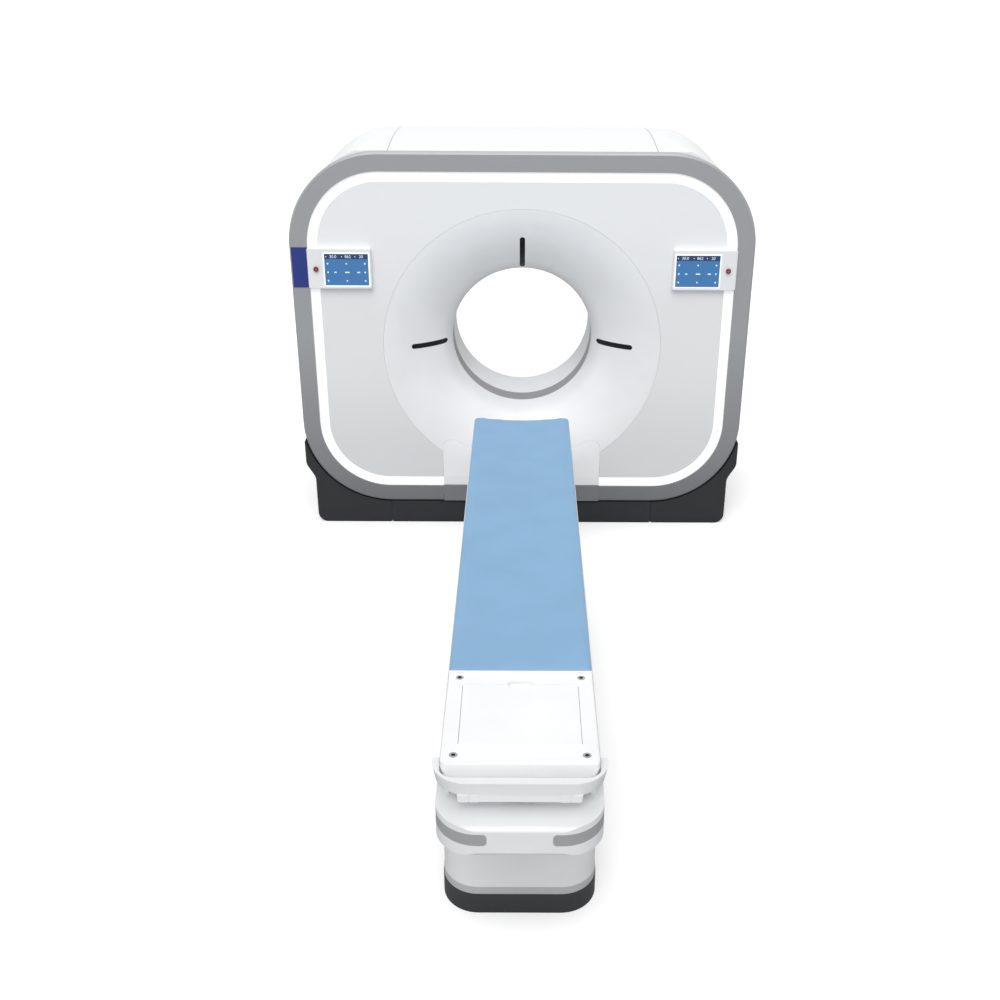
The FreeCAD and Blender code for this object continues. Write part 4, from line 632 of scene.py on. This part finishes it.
def even_copy(node, voxel):
    """Copy of a solid as one even mesh of quads."""
    mesh, edit = merged(node)
    edit.to_mesh(mesh)
    edit.free()
    piece = placed(node + "_padded", mesh)
    remesh = piece.modifiers.new("even", "REMESH")
    remesh.mode = "VOXEL"
    remesh.voxel_size = voxel
    piece.data = as_shown(piece)
    piece.modifiers.clear()
    return piece


def swell(piece, held, cap):
    """Fill a piece with pressure as cloth, and keep each point's move up to the cap."""
    pins = piece.vertex_groups.new(name="held")
    pins.add(held, 1.0, "REPLACE")
    cloth = piece.modifiers.new("filling", "CLOTH")
    cloth.settings.vertex_group_mass = "held"
    cloth.settings.use_pressure = True
    cloth.settings.uniform_pressure_force = MAT_PRESSURE
    cloth.settings.effector_weights.gravity = 0.0
    for step in range(1, MAT_STEPS + 1):
        bpy.context.scene.frame_set(step)
    filled = as_shown(piece)
    for still, moved in zip(piece.data.vertices, filled.vertices):
        lift = moved.co - still.co
        still.co += lift * min(1.0, cap / max(lift.length, 1e-9))
    bpy.context.scene.frame_set(1)
    piece.modifiers.clear()
    piece.vertex_groups.clear()


mat = even_copy("mattress", MAT_VOXEL)
low_edge = [v.index for v in mat.data.vertices if v.normal.z < HELD_BELOW]
swell(mat, low_edge, MAT_CAP)
mat.data.shade_smooth()
settle(mat, mat_cloth, "couch_top")
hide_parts("mattress")
print("mat points:", len(mat.data.vertices), "held:", len(low_edge))

# %% [markdown]
# ## Cover screws
# Four socket screws hold the end cover. Their heads are low steel discs with a hexagon socket,
# which is dark because light hardly gets into it; here that dark is painted shade, a near-black
# finish on the socket's floor and walls. A head starts as a disc that is pushed up. Its face is
# inset, the inner ring's points are slid onto a hexagon, and that face goes down 2 mm.

# %% Screws
SCREW_RADIUS = 0.0112
SCREW_SOLID_RADIUS = 0.0115
SCREW_HEIGHT = 0.0028
SCREW_INSET = 0.003
SOCKET_RADIUS = 0.0066
SOCKET_DEPTH = 0.002
HALF_FLAT = math.radians(30)
# Near-black finish for the inside of each socket: painted shade.
socket_painted_shade = moulding("socket_shadow", "17181A", 0.6, 1.0, 0.05)


def disc(edit, radius, place, segments):
    """Flat round face at a place."""
    made = bmesh.ops.create_circle(
        edit, cap_ends=True, segments=segments, radius=radius, matrix=place)
    return made["verts"][0].link_faces[0]


def push(edit, face, way):
    """Extrude a face along a vector and return the new one, leaving no lid over a hollow."""
    has_neighbours = any(len(edge.link_faces) > 1 for edge in face.edges)
    made = bmesh.ops.extrude_face_region(edit, geom=[face])["geom"]
    verts = [part for part in made if isinstance(part, bmesh.types.BMVert)]
    bmesh.ops.translate(edit, verts=verts, vec=way)
    if has_neighbours:
        bmesh.ops.delete(edit, geom=[face], context="FACES_ONLY")
    return next(part for part in made if isinstance(part, bmesh.types.BMFace))


def round_off(edit, edges, width, segments):
    """Bevel some edges to a round lip."""
    bmesh.ops.bevel(
        edit, geom=edges, offset=width, affect="EDGES", segments=segments, profile=0.5, material=-1)


low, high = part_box("end_cover_screws")
screw_x = (high[0] - low[0]) / 2 - SCREW_SOLID_RADIUS
screw_y = (low[1] + SCREW_SOLID_RADIUS, high[1] - SCREW_SOLID_RADIUS)
screw_places = [(side * screw_x, along) for side in (-1, 1) for along in screw_y]
edit = bmesh.new()
for across, along in screw_places:
    base = disc(edit, SCREW_RADIUS, Matrix.Translation((across, along, low[2])), 36)
    top = push(edit, base, (0, 0, SCREW_HEIGHT))
    bmesh.ops.inset_region(edit, faces=[top], thickness=SCREW_INSET)
    for vert in top.verts:
        arm = vert.co - Vector((across, along, vert.co.z))
        turn = math.atan2(arm.y, arm.x) % (2 * HALF_FLAT) - HALF_FLAT
        reach = SOCKET_RADIUS * math.cos(HALF_FLAT) / math.cos(turn)
        vert.co = vert.co - arm + arm.normalized() * reach
    floor_face = push(edit, top, (0, 0, -SOCKET_DEPTH))
    # The socket's floor and walls take the painted shade.
    for face in [floor_face] + [f for edge in floor_face.edges for f in edge.link_faces]:
        face.material_index = 1
screws = finished(edit, "screw_heads", ground_steel, "couch_top")
screws.data.materials.append(socket_painted_shade)
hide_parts("end_cover_screws")
print("screws at:", [[round(c, 3) for c in place] for place in screw_places])

# %% [markdown]
# ## Lip behind the mat
# The end cover rises in a straight white lip where the mat ends, so that a sheet or a hand slides
# over the joint. It hides the mat's own end. It is a bar whose upper edges are rounded, set just
# clear of the mat.

# %% Lip
LIP_DEPTH = 0.0045
LIP_RISE = 0.0118
LIP_HALF_W = 0.2125
LIP_ROUND = 0.0015
LIP_GAP = 0.0003
LIP_SINK = 0.0001
mat_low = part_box("mattress")[0]
cover_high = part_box("end_cover")[1]
edit = bmesh.new()
bmesh.ops.create_cube(edit, size=1.0)
bmesh.ops.scale(edit, verts=edit.verts, vec=(2 * LIP_HALF_W, LIP_DEPTH, LIP_RISE))
middle_y = mat_low[1] - LIP_GAP - LIP_DEPTH / 2
middle_z = cover_high[2] + LIP_RISE / 2
bmesh.ops.translate(edit, verts=edit.verts, vec=(0, middle_y, middle_z - LIP_SINK))
above = [edge for edge in edit.edges if all(vert.co.z > middle_z for vert in edge.verts)]
round_off(edit, above, LIP_ROUND, 3)
finished(edit, "cover_lip", couch_gelcoat, "couch_top")
print("lip from y:", round(middle_y - LIP_DEPTH / 2, 4), "to:", round(middle_y + LIP_DEPTH / 2, 4))

# %% [markdown]
# ## Stop buttons
# Beside each screen a small red button stops the couch. It is turned acrylic: a ring with a paler,
# sunk centre for the fingertip. The head is a disc pushed out from the panel, its lip is bevelled,
# and its centre is inset and pushed back. The stem behind it goes on into the panel.

# %% Stop buttons
FACE_ON = Matrix.Rotation(math.radians(90), 4, "X")
HEAD_DEPTH = 0.009
HEAD_ROUND = 0.0015
RING_WIDTH = 0.0045
CENTRE_SUNK = 0.0008
for side in ("left", "right"):
    node = "stop_button_" + side
    low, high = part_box(node)
    radius = (high[2] - low[2]) / 2
    edit = bmesh.new()
    middle = ((low[0] + high[0]) / 2, low[1] + HEAD_DEPTH, (low[2] + high[2]) / 2)
    behind = Matrix.Translation(middle) @ FACE_ON
    back = disc(edit, radius, behind, 40)
    front = push(edit, back, (0, -HEAD_DEPTH, 0))
    round_off(edit, list(front.edges), HEAD_ROUND, 3)
    front = min(edit.faces, key=lambda face: face.calc_center_median().y)
    bmesh.ops.inset_region(edit, faces=[front], thickness=RING_WIDTH)
    sunk = push(edit, front, (0, CENTRE_SUNK, 0))
    sunk.material_index = 1
    stem = disc(edit, radius / 2, behind, 24)
    push(edit, stem, (0, high[1] - low[1] - HEAD_DEPTH, 0))
    button = finished(edit, node + "_turned", button_acrylic, "stop_" + side)
    button.data.materials.append(button_centre)
    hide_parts(node)
    print(button.name, "radius:", round(radius, 4), "reach:", round(high[1] - low[1], 4))

# %% [markdown]
# ## What the screens show
# Each touch screen is a blue field under a dark strip with three readings, and it carries light
# signs for the couch's moves. They are thin plates of their own, half a millimetre proud, so they
# stay sharp from close by: arrows are three-sided plates, keys are bars and dots. The readings are
# plain numbers, made as text, turned into a mesh, and only then set in place. A glossy white lip
# frames each screen; it is made of the diffuser's glowing acrylic, so it has a painted glow.

# %% Signs, readings and lips
SIGN_T = 0.0005
SUNK = 0.0002
SCREEN_LIP = 0.006
LIP_PROUD = 0.0006
# What follows is in shares of the screen's width across, and of its height down from the top.
STRIP_TALL = 0.165
STRIP_DOWN = 0.09
STRIP_DOTS = (0.04, 0.40, 0.70)
READINGS = (("30.0", 0.20), ("862", 0.54), ("20", 0.84))
KEY_COLUMNS = (0.07, 0.92)
KEY_ROWS = (0.31, 0.585, 0.855)
ARROWS = ((0.31, 90), (0.855, -90))
BARS = ((0.24, 0.05), (0.51, 0.10), (0.77, 0.07))
BARS_DOWN = 0.585


def spot(screen, across, down, proud=0.0):
    """Place on a screen's glass, at shares of its box across and down, so far proud."""
    low, high = screen
    right = low[0] + across * (high[0] - low[0])
    return Vector((right, low[1] + SUNK - proud, high[2] - down * (high[2] - low[2])))


def plate(edit, corners, place, wide, tall, turn=0.0):
    """Thin closed plate with so many corners, facing the couch, at a place on the panel."""
    square = corners == 4
    spin = Matrix.Rotation(math.radians(45 if square else turn), 4, "Z")
    matrix = Matrix.Translation(place) @ FACE_ON @ Matrix.Diagonal((wide, tall, 1, 1)) @ spin
    face = disc(edit, math.sqrt(0.5) if square else 0.5, matrix, corners)
    push(edit, face, (0, -SIGN_T - SUNK, 0))


def reading(text, height, place):
    """Number as a flat mesh that faces the couch."""
    letters = bpy.data.curves.new("reading", "FONT")
    letters.body = text
    letters.size = height
    letters.extrude = SIGN_T / 2
    letters.align_x = "CENTER"
    letters.align_y = "CENTER"
    holder = placed("reading", letters)
    mesh = as_shown(holder)
    bpy.data.objects.remove(holder)
    mesh.transform(Matrix.Translation(place) @ FACE_ON)
    return mesh


for side in ("left", "right"):
    low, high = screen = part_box("control_screen_" + side)
    wide = high[0] - low[0]
    tall = high[2] - low[2]

    edit = bmesh.new()
    plate(edit, 4, spot(screen, 0.5, STRIP_TALL / 2), wide, tall * STRIP_TALL)
    finished(edit, "strip_" + side, header_glass, "stand")

    edit = bmesh.new()
    for across in KEY_COLUMNS:
        for down in KEY_ROWS:
            plate(edit, 12, spot(screen, across, down), wide * 0.04, wide * 0.04)
    for down, turn in ARROWS:
        plate(edit, 3, spot(screen, 0.5, down), wide * 0.055, wide * 0.055, turn)
    for across, share in BARS:
        plate(edit, 4, spot(screen, across, BARS_DOWN), wide * share, tall * 0.04)
    for across in STRIP_DOTS:
        plate(edit, 8, spot(screen, across, STRIP_DOWN, SIGN_T), wide * 0.025, wide * 0.025)
    for text, across in READINGS:
        place = spot(screen, across, STRIP_DOWN, SIGN_T + SIGN_T / 2)
        edit.from_mesh(reading(text, tall * 0.13, place))
    finished(edit, "signs_" + side, mark_glass, "stand")

    edit = bmesh.new()
    proud = low[1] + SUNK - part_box("control_housing_" + side)[0][1] + LIP_PROUD
    for end in (0, 1):
        out = (end - 0.5) * SCREEN_LIP
        level = spot(screen, 0.5, end, proud) - Vector((0, 0, out))
        upright = spot(screen, end, 0.5, proud) + Vector((out, 0, 0))
        plate(edit, 4, level, wide + 2 * SCREEN_LIP, SCREEN_LIP)
        plate(edit, 4, upright, SCREEN_LIP, tall)
    # The lip uses the diffuser's glowing acrylic: a painted glow, with no lamp behind it.
    finished(edit, "lip_" + side, lit_acrylic, "stand")
    print("screen", side, "size:", round(wide, 3), round(tall, 3))

# %% [markdown]
# ## Stage, light and camera
# The machine stands on a pale floor in soft light, as in a product picture. The world gives even
# light from all round. Two wide suns add the fall of light that shows the shapes: one from nearly
# overhead, and one from the front, halfway up, which leaves the pedestal in the shade of the
# couch's body. Their strength is set so that a white panel that faces up is about as bright as its
# own colour. The world is white at full strength to the camera, in reflections and through glass,
# and lights the machine at half of that. The floor is pale to the camera and a mid grey in the
# light that it throws back, so that undersides keep their shade.

# %% Floor
FLOOR_HALF = 60
FLOOR_GLOW = 0.26
CLOUD_MM = 900


def wide_floor(half):
    """Large flat floor under the machine."""
    edit = bmesh.new()
    bmesh.ops.create_grid(edit, x_segments=1, y_segments=1, size=half)
    mesh = bpy.data.meshes.new("floor")
    edit.to_mesh(mesh)
    edit.free()
    return placed("floor", mesh)


floor = wide_floor(FLOOR_HALF)
floor_paint = blank("pale_floor_paint")
ray = add(floor_paint, "ShaderNodeLightPath", {}, {})
cloud = pattern(floor_paint, "Noise", CLOUD_MM, here(floor_paint), {"Detail": 2.0})
# What its light comes from, and what the camera sees: two tones that drift into each other.
paints = []
for darker, lighter, glow in (("B4B4B5", "B7B7B7", 0.0), ("F4F4F5", "F7F7F7", FLOOR_GLOW)):
    stops = [(0.3, colour(darker)), (0.7, colour(lighter))]
    tone = add(floor_paint, "ShaderNodeValToRGB", {"stops": stops}, {"Fac": (cloud, "Fac")})
    look = {"Roughness": 0.7, "IOR": 1.5}
    look.update({"Emission Color": (1, 1, 1, 1), "Emission Strength": glow})
    paint = add(floor_paint, "ShaderNodeBsdfPrincipled", look, {"Base Color": (tone, "Color")})
    paints.append(paint)
links = {0: (ray, "Is Camera Ray"), 1: (paints[0], "BSDF"), 2: (paints[1], "BSDF")}
either = add(floor_paint, "ShaderNodeMixShader", {}, links)
add(floor_paint, "ShaderNodeOutputMaterial", {}, {"Surface": (either, "Shader")})
floor.data.materials.append(floor_paint)
print("floor:", [round(side) for side in floor.dimensions])

# %% Light
WORLD_LIGHT = 0.5
world = bpy.data.worlds.new("studio")
bpy.context.scene.world = world
world.use_nodes = True
world.node_tree.nodes.clear()
path = add(world, "ShaderNodeLightPath", {}, {})
seen = (path, "Is Camera Ray")
for kind in ("Is Glossy Ray", "Is Transmission Ray"):
    either = add(world, "ShaderNodeMath", {"operation": "MAXIMUM"}, {0: seen, 1: (path, kind)})
    seen = (either, "Value")
half_light = {"To Min": WORLD_LIGHT, "To Max": 1.0}
strength = add(world, "ShaderNodeMapRange", half_light, {"Value": seen})
white = {"Color": (1, 1, 1, 1)}
sky = add(world, "ShaderNodeBackground", white, {"Strength": (strength, "Result")})
add(world, "ShaderNodeOutputWorld", {}, {"Surface": (sky, "Background")})

# Name, spread in degrees, strength, place and target of each sun.
LAMPS = (
    ("soft_ceiling", 60, 0.8, (-0.6, -1.6, 8.0), (0, 0, 0)),
    ("soft_front", 40, 1.35, (-0.7, -6.0, 7.2), (0, -0.3, 1.5)),
)
for name, spread, energy, place, target in LAMPS:
    lamp = placed(name, bpy.data.lights.new(name, "SUN"))
    lamp.data.angle = math.radians(spread)
    lamp.data.energy = energy
    lamp.location = place
    lamp.rotation_euler = (Vector(target) - Vector(place)).to_track_quat("-Z", "Y").to_euler()
print("lamps:", [light.name for light in bpy.data.lights])

# %% Camera
LENS = 42.17
SHIFT_X = -0.0246
EYE = (0, -5.9455, 2.8458)
TURN = math.radians(-0.180)
TILT = math.radians(64.417)
ROLL = math.radians(0.330)
camera = placed("camera", bpy.data.cameras.new("camera"))
camera.data.lens = LENS
camera.data.shift_x = SHIFT_X
turned = Matrix.Rotation(TURN, 4, "Z") @ Matrix.Rotation(TILT, 4, "X")
turned = turned @ Matrix.Rotation(ROLL, 4, "Z")
camera.matrix_world = Matrix.Translation(EYE) @ turned
bpy.context.scene.camera = camera
bpy.context.scene.view_settings.view_transform = "Standard"
print("camera at:", EYE)
